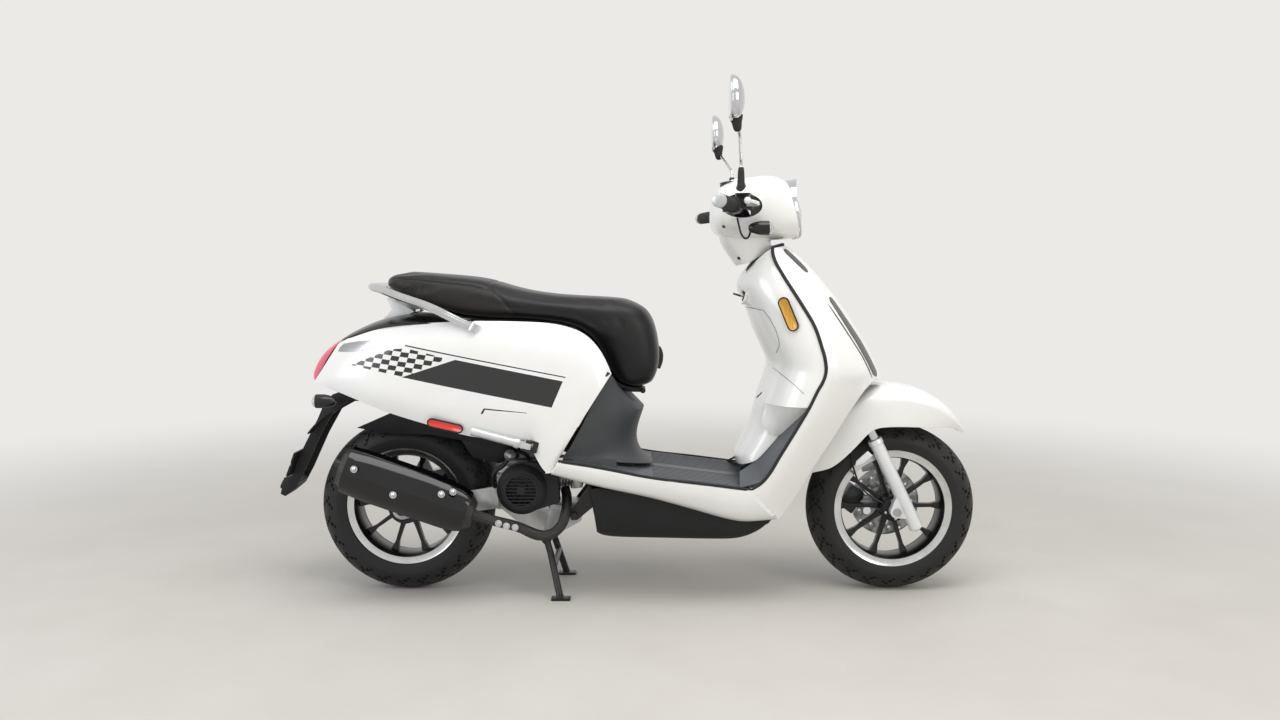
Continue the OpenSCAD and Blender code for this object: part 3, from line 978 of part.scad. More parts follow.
module cylinder_head() color("#7d8084") {
    translate([crank_at.x + 62, 0, crank_at.z + 12]) rotate([0, 84, 0]) {
        cylinder(r = 30, h = 76);
        for (k = [0:6]) translate([0, 0, 8 + 8 * k]) cylinder(r = 42, h = 3.4);
        translate([-36, -36, 64]) cube([72, 72, 24]);
    }
    across(crank_at.x, -98.2, crank_at.z, 7, 28);
}
// Sections of the silencer: middle x, z, half height, half width
muffler_y = -150;
muffler_stations = [[-398, 236, 34, 34], [-412, 244, 48, 42], [-440, 254, 58, 47], [-500, 278, 62, 49], [-560, 300, 63, 50],
    [-620, 321, 63, 50], [-680, 342, 62, 49], [-722, 357, 58, 45], [-738, 362, 44, 34]];
muffler_up = [0.333, 0, 0.943];
function muffler_ring(s, grow, a0, a1, n) = [for (k = [0:n]) let (a = a0 + (a1 - a0) * k / n)
    [X(s[0]), muffler_y, s[1]] + (s[2] + grow) * sin(a) * muffler_up - [0, (s[3] + grow) * cos(a), 0]];
header_path = [[-166, -30, 276], [-160, -66, 266], [-160, -98, 232], [-178, -108, 190], [-218, -115, 172], [-288, -126, 200], [-345, -138, 218],
    [-400, -148, 238]];
muffler_t = 2.5;
function muffler_skin(first, last, grow) = [for (i = [first:last])
    [for (k = [0:17]) muffler_ring(muffler_stations[i], grow, 0, 360, 18)[k]]];
module muffler() color("#141416") {
    difference() {
        union() {
            loft(muffler_skin(0, 8, 0));
            translate([X(-735), muffler_y + 6, 366]) rotate([0, -70, 0]) cylinder(r = 10, h = 22);
        }
        loft(muffler_skin(1, 7, -muffler_t));
        translate([X(-735), muffler_y + 6, 366]) rotate([0, -70, 0]) cylinder(r = 8, h = 60, center = true);
    }
    tube(smooth([for (p = header_path) [EX(p.x), p.y, p.z]], 3), 13, 10);
    for (x = [-520, -640]) side_plate(xs([[x, mixed(236, 380, -x / 900)], [x - 26, mixed(236, 380, -x / 900) + 10],
        [x - 26, 300 - (x + 520) * 0.3], [x, 290 - (x + 520) * 0.3]]), -104, -92.8);
}
module muffler_shield() color("#101012") {
    sheet([for (s = smooth([for (k = [1:7]) muffler_stations[k]], 2)) muffler_ring(s, 7, -58, 82, 12)], 2.4);
    for (b = [[-689, 368], [-591, 302], [-468, 304]]) translate([X(b[0]), muffler_y - 46, b[1]]) rotate([90, 0, 0])
        cylinder(r = 7, h = 13.5);
}
stand_half = 118;
stand_foot = [X(-176), 0, 0];
module centre_stand() color("#1c1c1e") {
    across(stand_at.x, 0, stand_at.z, 6, 150);
    for (e = [-1, 1]) {
        translate([0, e * 66, 0]) {
            across(stand_at.x, 0, stand_at.z, 13, 12);
            bar([stand_at.x, 0, stand_at.z], [stand_at.x + 12, e * 8, 112], 9);
        }
        bar([stand_at.x + 12, e * 74, 112], [stand_foot.x, e * stand_half, 10], 9.3);
        translate([stand_foot.x - 22, e * stand_half - 14, 0]) cube([50, 28, 6]);
        translate([stand_foot.x, e * stand_half, 5]) cylinder(r = 10, h = 8);
    }
    across(stand_at.x + 22, 0, 82, 8, 166);
}
module rear_tyre() color("#1d1d1f") tyre_at(rear_axle, rear_tyre_r, rear_tyre_w);
module rear_rim() color("#161618") {
    rim_at(rear_axle, rear_tyre_w, hub_r + 12, rear_tyre_w - 4, rear_axle_r);
    across(rear_axle.x, 0, rear_axle.z, rear_axle_r, 2 * case_out - 40);
    across(rear_axle.x, -98, rear_axle.z, 14, 10);
}

// ---- rear shock ---------------------------------------------------------------------
shock_dir = unit([shock_top.x, 0, shock_top.z] - [shock_foot.x, 0, shock_foot.z]);
shock_len = norm([shock_top.x, 0, shock_top.z] - [shock_foot.x, 0, shock_foot.z]);
shock_lean = atan2(shock_dir.x, shock_dir.z);
module shock_frame() translate(shock_foot) rotate([0, shock_lean, 0]) children();
damper_low = 120;
module shock_body() color("#303236") shock_frame() difference() {
    union() {
        translate([0, 0, damper_low]) cylinder(r = 15, h = shock_len - damper_low - 12);
        translate([0, 0, shock_len - 42]) cylinder(r = 25, h = 6);
        translate([0, 0, shock_len]) rotate([90, 0, 0]) cylinder(r = 12, h = 18, center = true);
    }
    translate([0, 0, damper_low - 10]) cylinder(r = 6 + run_gap, h = 100);
    translate([0, 0, shock_len]) rotate([90, 0, 0]) cylinder(r = 5 + run_gap, h = 40, center = true);
}
module shock_rod() color("#b8bbbe") shock_frame() difference() {
    union() {
        cylinder(r = 6, h = damper_low + 20);
        translate([0, 0, 24]) cylinder(r = 25, h = 5);
        rotate([90, 0, 0]) cylinder(r = 14, h = 16, center = true);
    }
    rotate([90, 0, 0]) cylinder(r = 8, h = 40, center = true);
}
coil_turns = 8;
coil_r = 21;
wire_r = 3.4;
module shock_spring() color("#b01820") shock_frame() {
    low = 29 + wire_r + 0.4;
    high = shock_len - 42 - wire_r - 0.4;
    tube([for (k = [0:coil_turns * 10]) let (u = k / (coil_turns * 10))
        [coil_r * cos(360 * coil_turns * u), coil_r * sin(360 * coil_turns * u), mixed(low, high, u)]], wire_r, 6);
}

main_frame();
leg_shield();
inner_cover();
floorboard();
seat_apron();
side_skirts();
belly_pan();
side_panels();
tail_trim();
tail_lamp();
rear_mudguard();
reflectors();
rear_turn_signals();
helmet_box();
fuel_tank();
grab_rail();
ignition_key();
fuel_cap();
seat_cushion();
seat_pan();
passenger_peg_right();
passenger_peg_left();
fork_yoke();
front_fender();
handlebar();
handlebar_cowl();
headlight_lens();
speedometer();
switch_housings();
front_turn_signals();
brake_hose();
left_grip();
mirror_stems();
fork_sliders();
brake_caliper();
front_axle();
front_tyre();
front_rim();
brake_disc();
crankcase();
belt_cover();
fan_shroud();
cylinder_head();
muffler();
muffler_shield();
cooling_fan();
centre_stand();
rear_tyre();
rear_rim();
shock_body();
shock_rod();
shock_spring();
throttle_grip();
brake_lever_right();
brake_lever_left();
mirror_head_right();
mirror_head_left();
start_button();
horn_button();
turn_switch();
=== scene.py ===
# %% [markdown]
# # A white retro moped scooter
# This lesson dresses the exact model of a 50 cc class moped scooter in its looks.

# %% Frame
import math

import bpy
from mathutils import Matrix, Vector


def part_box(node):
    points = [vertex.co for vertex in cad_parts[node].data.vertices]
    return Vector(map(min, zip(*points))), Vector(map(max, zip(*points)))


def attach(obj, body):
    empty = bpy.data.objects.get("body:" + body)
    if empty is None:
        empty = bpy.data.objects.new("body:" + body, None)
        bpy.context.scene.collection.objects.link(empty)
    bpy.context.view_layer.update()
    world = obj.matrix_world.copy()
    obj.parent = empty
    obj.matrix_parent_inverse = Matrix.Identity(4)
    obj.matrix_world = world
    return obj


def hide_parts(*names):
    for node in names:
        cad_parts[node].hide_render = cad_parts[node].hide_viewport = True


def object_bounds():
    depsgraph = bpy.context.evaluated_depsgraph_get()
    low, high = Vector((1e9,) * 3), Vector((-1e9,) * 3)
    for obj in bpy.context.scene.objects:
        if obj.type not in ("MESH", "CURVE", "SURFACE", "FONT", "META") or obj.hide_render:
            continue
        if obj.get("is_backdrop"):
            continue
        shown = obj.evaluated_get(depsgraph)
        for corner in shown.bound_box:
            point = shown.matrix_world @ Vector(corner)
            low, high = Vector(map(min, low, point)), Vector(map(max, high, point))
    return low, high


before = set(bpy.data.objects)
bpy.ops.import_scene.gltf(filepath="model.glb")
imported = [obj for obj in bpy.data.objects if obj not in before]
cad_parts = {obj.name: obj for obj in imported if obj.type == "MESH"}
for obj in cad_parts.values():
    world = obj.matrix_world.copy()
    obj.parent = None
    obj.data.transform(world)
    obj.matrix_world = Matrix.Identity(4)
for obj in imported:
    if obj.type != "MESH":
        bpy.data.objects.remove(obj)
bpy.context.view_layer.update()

# %% [markdown]
# ## Small helpers
# An operator acts on everything that is selected, so each step first selects one object alone.
# A node helper adds one shader node with its settings and its links, and nothing more.


# %% Selection
SIDES = ((-1, "right"), (1, "left"))


def only(piece):
    """Selects one object and nothing else."""
    if bpy.context.object and bpy.context.object.mode != "OBJECT":
        bpy.ops.object.mode_set(mode="OBJECT")
    bpy.ops.object.select_all(action="DESELECT")
    piece.select_set(True)
    bpy.context.view_layer.objects.active = piece
    return piece


def edit(piece, *steps):
    """Runs edit mode operators on all of a piece's mesh. Each step is (operator, settings)."""
    only(piece)
    bpy.ops.object.mode_set(mode="EDIT")
    bpy.ops.mesh.select_mode(type="VERT")
    bpy.ops.mesh.select_all(action="SELECT")
    for operator, settings in steps:
        operator(**settings)
    bpy.ops.object.mode_set(mode="OBJECT")
    return piece


def modify(piece, kind, **settings):
    """Adds a modifier and applies it."""
    only(piece)
    made = piece.modifiers.new(kind.title(), kind)
    for key, value in settings.items():
        setattr(made, key, value)
    bpy.ops.object.modifier_apply(modifier=made.name)
    return piece


def settle(piece, name, finish=None, body=None, angle=35, replaces=()):
    """Puts a piece's place into its mesh, smooths it by angle, and gives it its name, finish and body."""
    only(piece)
    bpy.ops.object.transform_apply(location=True, rotation=True, scale=True)
    bpy.ops.object.shade_smooth_by_angle(angle=math.radians(angle))
    piece.name = name
    piece.data.name = name
    if finish:
        piece.data.materials.clear()
        piece.data.materials.append(finish)
    if body:
        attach(piece, body)
    if replaces:
        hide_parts(*replaces)
    return piece


def paint(piece, finish, test):
    """Gives another finish to the faces whose centre and normal pass the test."""
    piece.data.materials.append(finish)
    number = len(piece.data.materials) - 1
    for face in piece.data.polygons:
        if test(face.center, face.normal):
            face.material_index = number


def linked(data):
    """A new object in the scene that holds a mesh or a curve."""
    piece = bpy.data.objects.new("piece", data)
    bpy.context.scene.collection.objects.link(piece)
    return piece


def from_points(points, edges=(), faces=()):
    """A new object from points in metres, joined by edges or faces."""
    mesh = bpy.data.meshes.new("piece")
    mesh.from_pydata(points, edges, faces)
    return linked(mesh)


# %% Nodes and colours
def srgb(code):
    """An sRGB hex colour as the linear colour that Blender works in."""
    parts = [int(code[i:i + 2], 16) / 255 for i in (1, 3, 5)]
    return [c / 12.92 if c <= 0.04045 else ((c + 0.055) / 1.055) ** 2.4 for c in parts] + [1.0]


def add_node(material, kind, settings=None, links=None):
    """Adds one node. Settings name a socket or a property, and links give input: (node, output)."""
    made = material.node_tree.nodes.new("ShaderNode" + kind)
    for key, value in (settings or {}).items():
        if isinstance(key, int) or key in made.inputs:
            made.inputs[key].default_value = value
        else:
            setattr(made, key, value)
    for key, (source, output) in (links or {}).items():
        material.node_tree.links.new(source.outputs[output], made.inputs[key])
    return made


def new_finish(name, **sockets):
    """A material with its shader, whose sockets take plain values, and the object coordinates."""
    material = bpy.data.materials.new(name)
    material.use_nodes = True
    shader = material.node_tree.nodes["Principled BSDF"]
    for key, value in sockets.items():
        shader.inputs[key.replace("_", " ")].default_value = value
    place = add_node(material, "TexCoord")
    return material, shader, place


def link(material, source, output, target, socket):
    """Joins one node's output to another's socket."""
    material.node_tree.links.new(source.outputs[output], target.inputs[socket])


def surface(material, shader, **sources):
    """Links (node, output) pairs to the shader, and returns the finished material."""
    for socket, (source, output) in sources.items():
        link(material, source, output, shader, socket.replace("_", " "))
    return material


# %% [markdown]
# ## Finishes
# Every surface starts as a real finish: sprayed and lacquered ABS, grained polypropylene, cast or
# machined alloy, chrome plate, rubber, vinyl. One function builds what they share: a fine grain for
# the bump at its real size in millimetres, and slow patches that vary the colour and the shine, as
# handling and dust do.


# %% Grained finish
def grained(name, colour, patch_colour, roughness, grain_mm, depth_mm, patch_mm=60, shine_spread=0.06,
            **sockets):
    """A finish with a grain of that size and depth, and patches of a second colour and shine."""
    material, shader, place = new_finish(name, **sockets)
    patches = add_node(material, "TexNoise", {"Scale": 1000 / patch_mm, "Detail": 5.0, "Roughness": 0.6},
                       {"Vector": (place, "Object")})
    spread = add_node(material, "MapRange", {"From Min": 0.35, "From Max": 0.7}, {"Value": (patches, "Fac")})
    tint = add_node(material, "Mix", {"data_type": "RGBA", 6: srgb(colour), 7: srgb(patch_colour)},
                    {0: (spread, "Result")})
    shine = add_node(material, "MapRange",
                     {"To Min": roughness - shine_spread / 2, "To Max": roughness + shine_spread / 2},
                     {"Value": (patches, "Fac")})
    grain = add_node(material, "TexNoise", {"Scale": 1000 / grain_mm, "Detail": 2.0},
                     {"Vector": (place, "Object")})
    bump = add_node(material, "Bump", {"Strength": 0.6, "Distance": depth_mm / 1000},
                    {"Height": (grain, "Fac")})
    return surface(material, shader, Base_Color=(tint, 2), Roughness=(shine, "Result"),
                   Normal=(bump, "Normal"))


# The grain of each: orange peel of the lacquer about 2 mm, moulded spark texture about 1.5 mm.
white_lacquer = grained("white_lacquered_abs", "#f3f3f1", "#ebebe8", 0.2, 2.2, 0.012, patch_mm=260,
                        shine_spread=0.05, Coat_Weight=0.6, Coat_Roughness=0.05)
grey_polypropylene = grained("grained_grey_polypropylene", "#393c3f", "#424548", 0.5, 1.4, 0.12, patch_mm=90,
                             shine_spread=0.12)
floor_plastic = grained("moulded_floor_plastic", "#4d5155", "#575b5f", 0.45, 1.4, 0.12, patch_mm=90,
                        shine_spread=0.12)
black_polypropylene = grained("grained_black_polypropylene", "#101113", "#191a1c", 0.55, 1.5, 0.1,
                              patch_mm=80, shine_spread=0.14, Specular_IOR_Level=0.35)
smooth_black_abs = grained("smooth_black_abs", "#0d0d0f", "#151517", 0.28, 3.0, 0.02, patch_mm=70,
                           Coat_Weight=0.2, Specular_IOR_Level=0.4)
black_paint = grained("satin_black_frame_paint", "#141416", "#1e1e20", 0.4, 2.0, 0.03, patch_mm=50,
                      shine_spread=0.16)
black_enamel = grained("gloss_black_enamel", "#050506", "#0a0a0c", 0.1, 3.5, 0.01, patch_mm=120,
                       shine_spread=0.05, Coat_Weight=0.25, Coat_Roughness=0.04, Specular_IOR_Level=0.4)
heat_paint = grained("heat_proof_black_paint", "#222223", "#32302d", 0.48, 1.0, 0.05, patch_mm=40,
                     shine_spread=0.18)
chrome = grained("chrome_plate", "#d6d8da", "#c9cbce", 0.07, 6.0, 0.004, patch_mm=50, shine_spread=0.04,
                 Metallic=1.0)
zinc = grained("zinc_plated_steel", "#b9bbbc", "#9c9e9d", 0.3, 0.8, 0.02, patch_mm=14, shine_spread=0.14,
               Metallic=1.0)
cast_alloy = grained("cast_aluminium", "#c2c4c5", "#a3a5a6", 0.42, 1.1, 0.09, patch_mm=35, shine_spread=0.18,
                     Metallic=0.9)
dark_alloy = grained("dark_cast_aluminium", "#4a4c4e", "#393a3c", 0.45, 1.1, 0.09, patch_mm=35,
                     shine_spread=0.16, Metallic=0.8)
silver_paint = grained("silver_lacquered_alloy", "#e8eaeb", "#dfe1e2", 0.3, 1.6, 0.015, patch_mm=70,
                       Metallic=0.2, Coat_Weight=0.5, Coat_Roughness=0.08)
rubber = grained("moulded_rubber", "#151515", "#202020", 0.66, 0.9, 0.08, patch_mm=30, shine_spread=0.14)
hose_rubber = grained("cable_sleeve", "#0f0f10", "#1a1a1b", 0.42, 1.2, 0.04, patch_mm=25)
bright_alloy = grained("polished_cast_aluminium", "#d3d5d6", "#bfc1c2", 0.35, 1.2, 0.04, patch_mm=40,
                       Metallic=0.6)
wheel_paint = grained("gloss_black_wheel_paint", "#08080a", "#101012", 0.32, 2.5, 0.02, patch_mm=60,
                      Coat_Weight=0.15, Coat_Roughness=0.1, Specular_IOR_Level=0.35)
spring_paint = grained("powder_coated_spring", "#8e1119", "#7a0e15", 0.34, 1.2, 0.04, patch_mm=20,
                       Coat_Weight=0.2)
button_plastic = grained("moulded_grey_button", "#8d9092", "#7f8284", 0.45, 0.7, 0.04, patch_mm=10)
tail_silver = grained("silver_painted_abs", "#a9acad", "#9b9ea0", 0.22, 2.2, 0.01, patch_mm=90, Metallic=0.7,
                      Coat_Weight=0.6, Coat_Roughness=0.05)
smoked_strip = grained("smoked_grey_strip", "#343637", "#2c2e2f", 0.2, 4.0, 0.006, patch_mm=120,
                       Coat_Weight=0.3, Coat_Roughness=0.03)

# %% [markdown]
# Machined parts show the tool's path as fine rings about the wheel's axle. The rings come from the
# distance to the axle, worked out in the material from the object coordinates.


# %% Machined rings
def turned_metal(name, colour, roughness, axle, ring_mm):
    """Metal turned on a lathe about an axle that runs along Y."""
    material, shader, place = new_finish(name, Metallic=1.0)
    centred = add_node(material, "Mapping", {"Location": (-axle[0], 0, -axle[2]), "Scale": (1, 0, 1)},
                       {"Vector": (place, "Object")})
    radius = add_node(material, "VectorMath", {"operation": "LENGTH"}, {0: (centred, "Vector")})
    rings = add_node(material, "TexNoise", {"noise_dimensions": "1D", "Scale": 1000 / ring_mm, "Detail": 3.0},
                     {"W": (radius, "Value")})
    patches = add_node(material, "TexNoise", {"Scale": 24.0, "Detail": 4.0}, {"Vector": (place, "Object")})
    blend = add_node(material, "Math", {"operation": "MULTIPLY_ADD", 1: 0.5},
                     {0: (rings, "Fac"), 2: (patches, "Fac")})
    tone = add_node(material, "ValToRGB", links={"Fac": (blend, 0)})
    tone.color_ramp.elements[0].position = 0.45
    tone.color_ramp.elements[0].color = [c * 0.78 for c in srgb(colour)[:3]] + [1.0]
    tone.color_ramp.elements[1].position = 0.95
    tone.color_ramp.elements[1].color = srgb(colour)
    shine = add_node(material, "MapRange",
                     {"From Min": 0.3, "From Max": 1.1,
                      "To Min": roughness - 0.06, "To Max": roughness + 0.1}, {"Value": (blend, 0)})
    bump = add_node(material, "Bump", {"Strength": 0.35, "Distance": 0.00012}, {"Height": (rings, "Fac")})
    return surface(material, shader, Base_Color=(tone, "Color"), Roughness=(shine, "Result"),
                   Normal=(bump, "Normal"))


def middle(node):
    """The middle of a node's box."""
    low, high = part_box(node)
    return (low + high) / 2


front_axle = middle("front_tyre")
rear_axle = middle("rear_tyre")
front_disc_steel = turned_metal("ground_brake_disc_steel", "#a7a9aa", 0.3, front_axle, 1.6)
front_rim_ring = turned_metal("machined_front_rim", "#d8dadb", 0.2, front_axle, 1.2)
rear_rim_ring = turned_metal("machined_rear_rim", "#d8dadb", 0.2, rear_axle, 1.2)
print("axles", [round(v, 3) for v in front_axle], [round(v, 3) for v in rear_axle])


# %% [markdown]
# ## Tyre rubber
# A tyre's tread is a little dustier and greyer than its sidewall, and the sidewall carries fine
# moulded rings. Both follow the distance from the axle.


# %% Tyre
def tyre_rubber(name, axle, tread_radius):
    """Rubber that is dusty out at the tread's radius and ribbed along the sidewall."""
    material, shader, place = new_finish(name, Specular_IOR_Level=0.4)
    centred = add_node(material, "Mapping", {"Location": (-axle[0], 0, -axle[2]), "Scale": (1, 0, 1)},
                       {"Vector": (place, "Object")})
    radius = add_node(material, "VectorMath", {"operation": "LENGTH"}, {0: (centred, "Vector")})
    worn = add_node(material, "MapRange", {"From Min": tread_radius - 0.03, "From Max": tread_radius},
                    {"Value": (radius, "Value")})
    dust = add_node(material, "TexNoise", {"Scale": 22.0, "Detail": 6.0, "Roughness": 0.65},
                    {"Vector": (place, "Object")})
    dusty = add_node(material, "Math", {"operation": "MULTIPLY"}, {0: (worn, "Result"), 1: (dust, "Fac")})
    tint = add_node(material, "Mix", {"data_type": "RGBA", 6: srgb("#1b1b1c"), 7: srgb("#474644")},
                    {0: (dusty, 0)})
    shine = add_node(material, "MapRange", {"To Min": 0.45, "To Max": 0.72}, {"Value": (dust, "Fac")})
    ribs = add_node(material, "Math", {"operation": "PINGPONG", 1: 0.0045}, {0: (radius, "Value")})
    fine = add_node(material, "TexNoise", {"Scale": 900.0}, {"Vector": (place, "Object")})
    rough_skin = add_node(material, "Math", {"operation": "MULTIPLY_ADD", 1: 0.0003},
                          {0: (fine, "Fac"), 2: (ribs, 0)})
    bump = add_node(material, "Bump", {"Strength": 0.25, "Distance": 0.12}, {"Height": (rough_skin, 0)})
    return surface(material, shader, Base_Color=(tint, 2), Roughness=(shine, "Result"),
                   Normal=(bump, "Normal"))


front_tyre_rubber = tyre_rubber("front_tyre_rubber", front_axle, 0.229)
rear_tyre_rubber = tyre_rubber("rear_tyre_rubber", rear_axle, 0.236)


# %% [markdown]
# ## Lenses, glass and mirror
# A coloured lens is clear plastic over a moulded prism pattern: small cells about 3 mm apart catch
# the light each in their own way. A lamp cover is thin clear polycarbonate that transmits light.


# %% Lenses
def prism_lens(name, colour, deep_colour, cell_mm=3.2):
    """Coloured plastic with prism cells of that size."""
    material, shader, place = new_finish(name, Roughness=0.12, Coat_Weight=0.9, Coat_Roughness=0.03)
    cells = add_node(material, "TexVoronoi", {"Scale": 1000 / cell_mm, "Randomness": 0.0},
                     {"Vector": (place, "Object")})
    tint = add_node(material, "Mix", {"data_type": "RGBA", 6: srgb(deep_colour), 7: srgb(colour)},
                    {0: (cells, "Distance")})
    bump = add_node(material, "Bump", {"Strength": 0.5, "Distance": 0.0006}, {"Height": (cells, "Distance")})
    return surface(material, shader, Base_Color=(tint, 2), Normal=(bump, "Normal"))


red_reflector = prism_lens("red_reflector", "#ee2a20", "#c01016")
amber_reflector = prism_lens("amber_reflector", "#e8ae12", "#c08606")
tail_lens = prism_lens("red_tail_lens", "#ee6f86", "#cf3a55", cell_mm=9.0)


def clear_cover(name, tint_colour):
    """Polycarbonate with faint smears, at its real index of refraction."""
    material, shader, place = new_finish(name, IOR=1.49, Transmission_Weight=1.0)
    smears = add_node(material, "TexNoise", {"Scale": 40.0, "Detail": 4.0}, {"Vector": (place, "Object")})
    shine = add_node(material, "MapRange", {"To Min": 0.01, "To Max": 0.09}, {"Value": (smears, "Fac")})
    tint = add_node(material, "Mix", {"data_type": "RGBA", 6: srgb(tint_colour), 7: srgb("#f7f9fa")},
                    {0: (smears, "Fac")})
    return surface(material, shader, Roughness=(shine, "Result"), Base_Color=(tint, 2))


clear_lens = clear_cover("clear_polycarbonate", "#eef3f5")
mirror_glass = grained("mirror_glass", "#dfe4e8", "#d5dade", 0.03, 9.0, 0.001, patch_mm=200,
                       shine_spread=0.02, Metallic=1.0)

# %% [markdown]
# ## Side panel paint with its decal
# The rear panels wear a printed decal under the lacquer: a black band, a thin line above it and a
# field of flag checks behind it. Printing is flat, so it is drawn in the material and not in the
# mesh. Each edge of a shape is a half plane in the side view, where X runs forward and Z up, and a
# shape is where all its half planes are true.


# %% Decal
def inside(material, place, corners):
    """A node that is 1 inside the outline of corners, which run counterclockwise in the side view, in mm."""
    found = None
    for start, end in zip(corners, corners[1:] + corners[:1]):
        across = Vector((start[1] - end[1], 0, end[0] - start[0])).normalized()
        side = add_node(material, "VectorMath", {"operation": "DOT_PRODUCT", 1: across},
                        {0: (place, "Object")})
        level = (across.x * start[0] + across.z * start[1]) / 1000
        test = add_node(material, "Math", {"operation": "GREATER_THAN", 1: level}, {0: (side, "Value")})
        found = test if found is None else add_node(
            material, "Math", {"operation": "MULTIPLY"}, {0: (found, 0), 1: (test, 0)})
    return found


band = [(-575, 598), (-188, 523), (-159, 590), (-434, 644)]
thin_line = [(-566, 677.5), (-152, 598.5), (-152, 601.5), (-566, 681)]
pocket_line = [(-362, 517), (-251, 508), (-251, 509.5), (-360, 520.5)]
pocket_hook = [(-370, 506), (-364, 506), (-357, 520), (-362, 520)]
check_field = [(-716, 626), (-566, 598), (-470, 640), (-466, 650), (-562, 672), (-606, 669)]
check_mm = (44, 25)
check_slope = math.radians(-7)
check_lean = -0.2


def decal_lacquer():
    """The panels' lacquer with the decal printed under it."""
    material = grained("white_lacquer_with_decal", "#f3f3f1", "#ebebe8", 0.2, 2.2, 0.012, patch_mm=260,
                       shine_spread=0.05, Coat_Weight=0.6, Coat_Roughness=0.05)
    shader = material.node_tree.nodes["Principled BSDF"]
    place = next(n for n in material.node_tree.nodes if n.type == "TEX_COORD")
    paint_mix = shader.inputs["Base Color"].links[0].from_node
    along_band = add_node(material, "Mapping", {"Rotation": (0, check_slope, 0), "Scale": (1, 0, 1)},
                          {"Vector": (place, "Object")})
    slant = add_node(material, "SeparateXYZ", links={"Vector": (along_band, "Vector")})
    leaning = add_node(material, "Math", {"operation": "MULTIPLY_ADD", 1: check_lean},
                       {0: (slant, "Z"), 2: (slant, "X")})
    cell = add_node(material, "CombineXYZ", links={"X": (leaning, 0), "Y": (slant, "Z")})
    scaled = add_node(material, "Mapping", {"Scale": (2000 / check_mm[0], 2000 / check_mm[1], 0)},
                      {"Vector": (cell, "Vector")})
    checks = add_node(material, "TexChecker", {"Scale": 1.0}, {"Vector": (scaled, "Vector")})
    field = add_node(material, "Math", {"operation": "MULTIPLY"},
                     {0: (checks, "Fac"), 1: (inside(material, place, check_field), 0)})
    print_mask = field
    for outline in (band, thin_line, pocket_line, pocket_hook):
        shape = inside(material, place, outline)
        print_mask = add_node(material, "Math", {"operation": "MAXIMUM"}, {0: (print_mask, 0), 1: (shape, 0)})
    printed = add_node(material, "Mix", {"data_type": "RGBA", 7: srgb("#0b0b0d")},
                       {0: (print_mask, 0), 6: (paint_mix, 2)})
    return surface(material, shader, Base_Color=(printed, 2))


decal_white = decal_lacquer()

# %% [markdown]
# ## Body panels
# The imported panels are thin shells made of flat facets, which is how an exact model holds a free
# form surface. A copy of each is merged back into a grid of four-sided faces, its rims get a small
# round, and a subdivision surface turns the facets into the smooth skin of a moulded panel.


# %% Panels
all_selected = (bpy.ops.mesh.select_all, {"action": "SELECT"})
none_selected = (bpy.ops.mesh.select_all, {"action": "DESELECT"})
four_sided = (bpy.ops.mesh.tris_convert_to_quads, {"face_threshold": 1.0, "shape_threshold": 1.2})


def copy_of(node):
    """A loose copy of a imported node's mesh as a new piece, with its doubles merged."""
    piece = only(linked(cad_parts[node].data.copy()))
    bpy.ops.mesh.customdata_custom_splitnormals_clear()
    piece.data.materials.clear()
    return edit(piece, (bpy.ops.mesh.remove_doubles, {"threshold": 0.00002}))


def smooth_panel(node, name, finish, body, rim=0.0011):
    """The smooth skin of a shell: rims rounded, then subdivided."""
    sharp = 50
    piece = copy_of(node)
    edit(piece, four_sided)
    edit(piece, (bpy.ops.mesh.select_mode, {"type": "EDGE"}), none_selected,
         (bpy.ops.mesh.edges_select_sharp, {"sharpness": math.radians(sharp)}),
         (bpy.ops.mesh.bevel, {"offset": rim, "segments": 2, "affect": "EDGES", "clamp_overlap": True}))
    modify(piece, "SUBSURF", levels=2, render_levels=2)
    return settle(piece, name, finish, body, sharp, (node,))


def soft_edged(node, name, finish, body, width=0.0008):
    """A hard part with its faces joined up again and a small bevel along its edges."""
    sharp = 32
    piece = copy_of(node)
    edit(piece, (bpy.ops.mesh.dissolve_limited, {"angle_limit": math.radians(0.6)}))
    modify(piece, "BEVEL", width=width, segments=2, limit_method="ANGLE", angle_limit=math.radians(sharp),
           use_clamp_overlap=True, harden_normals=False)
    return settle(piece, name, finish, body, sharp, (node,))


shield = smooth_panel("leg_shield", "leg_shield_skin", white_lacquer, "chassis")
fender = smooth_panel("front_fender", "front_fender_skin", white_lacquer, "steering")
skirts = smooth_panel("side_skirts", "side_skirt_skins", white_lacquer, "chassis")
panels = smooth_panel("side_panels", "side_panel_skins", decal_white, "chassis")
cover = smooth_panel("inner_cover", "inner_cover_skin", white_lacquer, "chassis")
trim = smooth_panel("tail_trim", "tail_trim_skin", smooth_black_abs, "chassis")
apron = smooth_panel("seat_apron", "seat_apron_skin", grey_polypropylene, "chassis")
tub = smooth_panel("belly_pan", "belly_pan_skin", black_polypropylene, "chassis")
muffler_guard = smooth_panel("muffler_shield", "muffler_guard_skin", black_enamel, "power_unit",
                             rim=0.0007)
tail = smooth_panel("tail_lamp", "tail_lamp_lens", tail_lens, "chassis")
for piece in (shield, fender, skirts, panels, cover, trim, apron, tub, muffler_guard, tail):
    print(piece.name, len(piece.data.polygons), "faces")

# %% [markdown]
# ## Turned parts, tubes and plates
# Rings, bezels and tyres are turned: a profile is drawn beside an axis and spun round it. Cables and
# piping follow a curve with a round section. Each helper works in millimetres about its own origin
# and then puts the piece in its place.


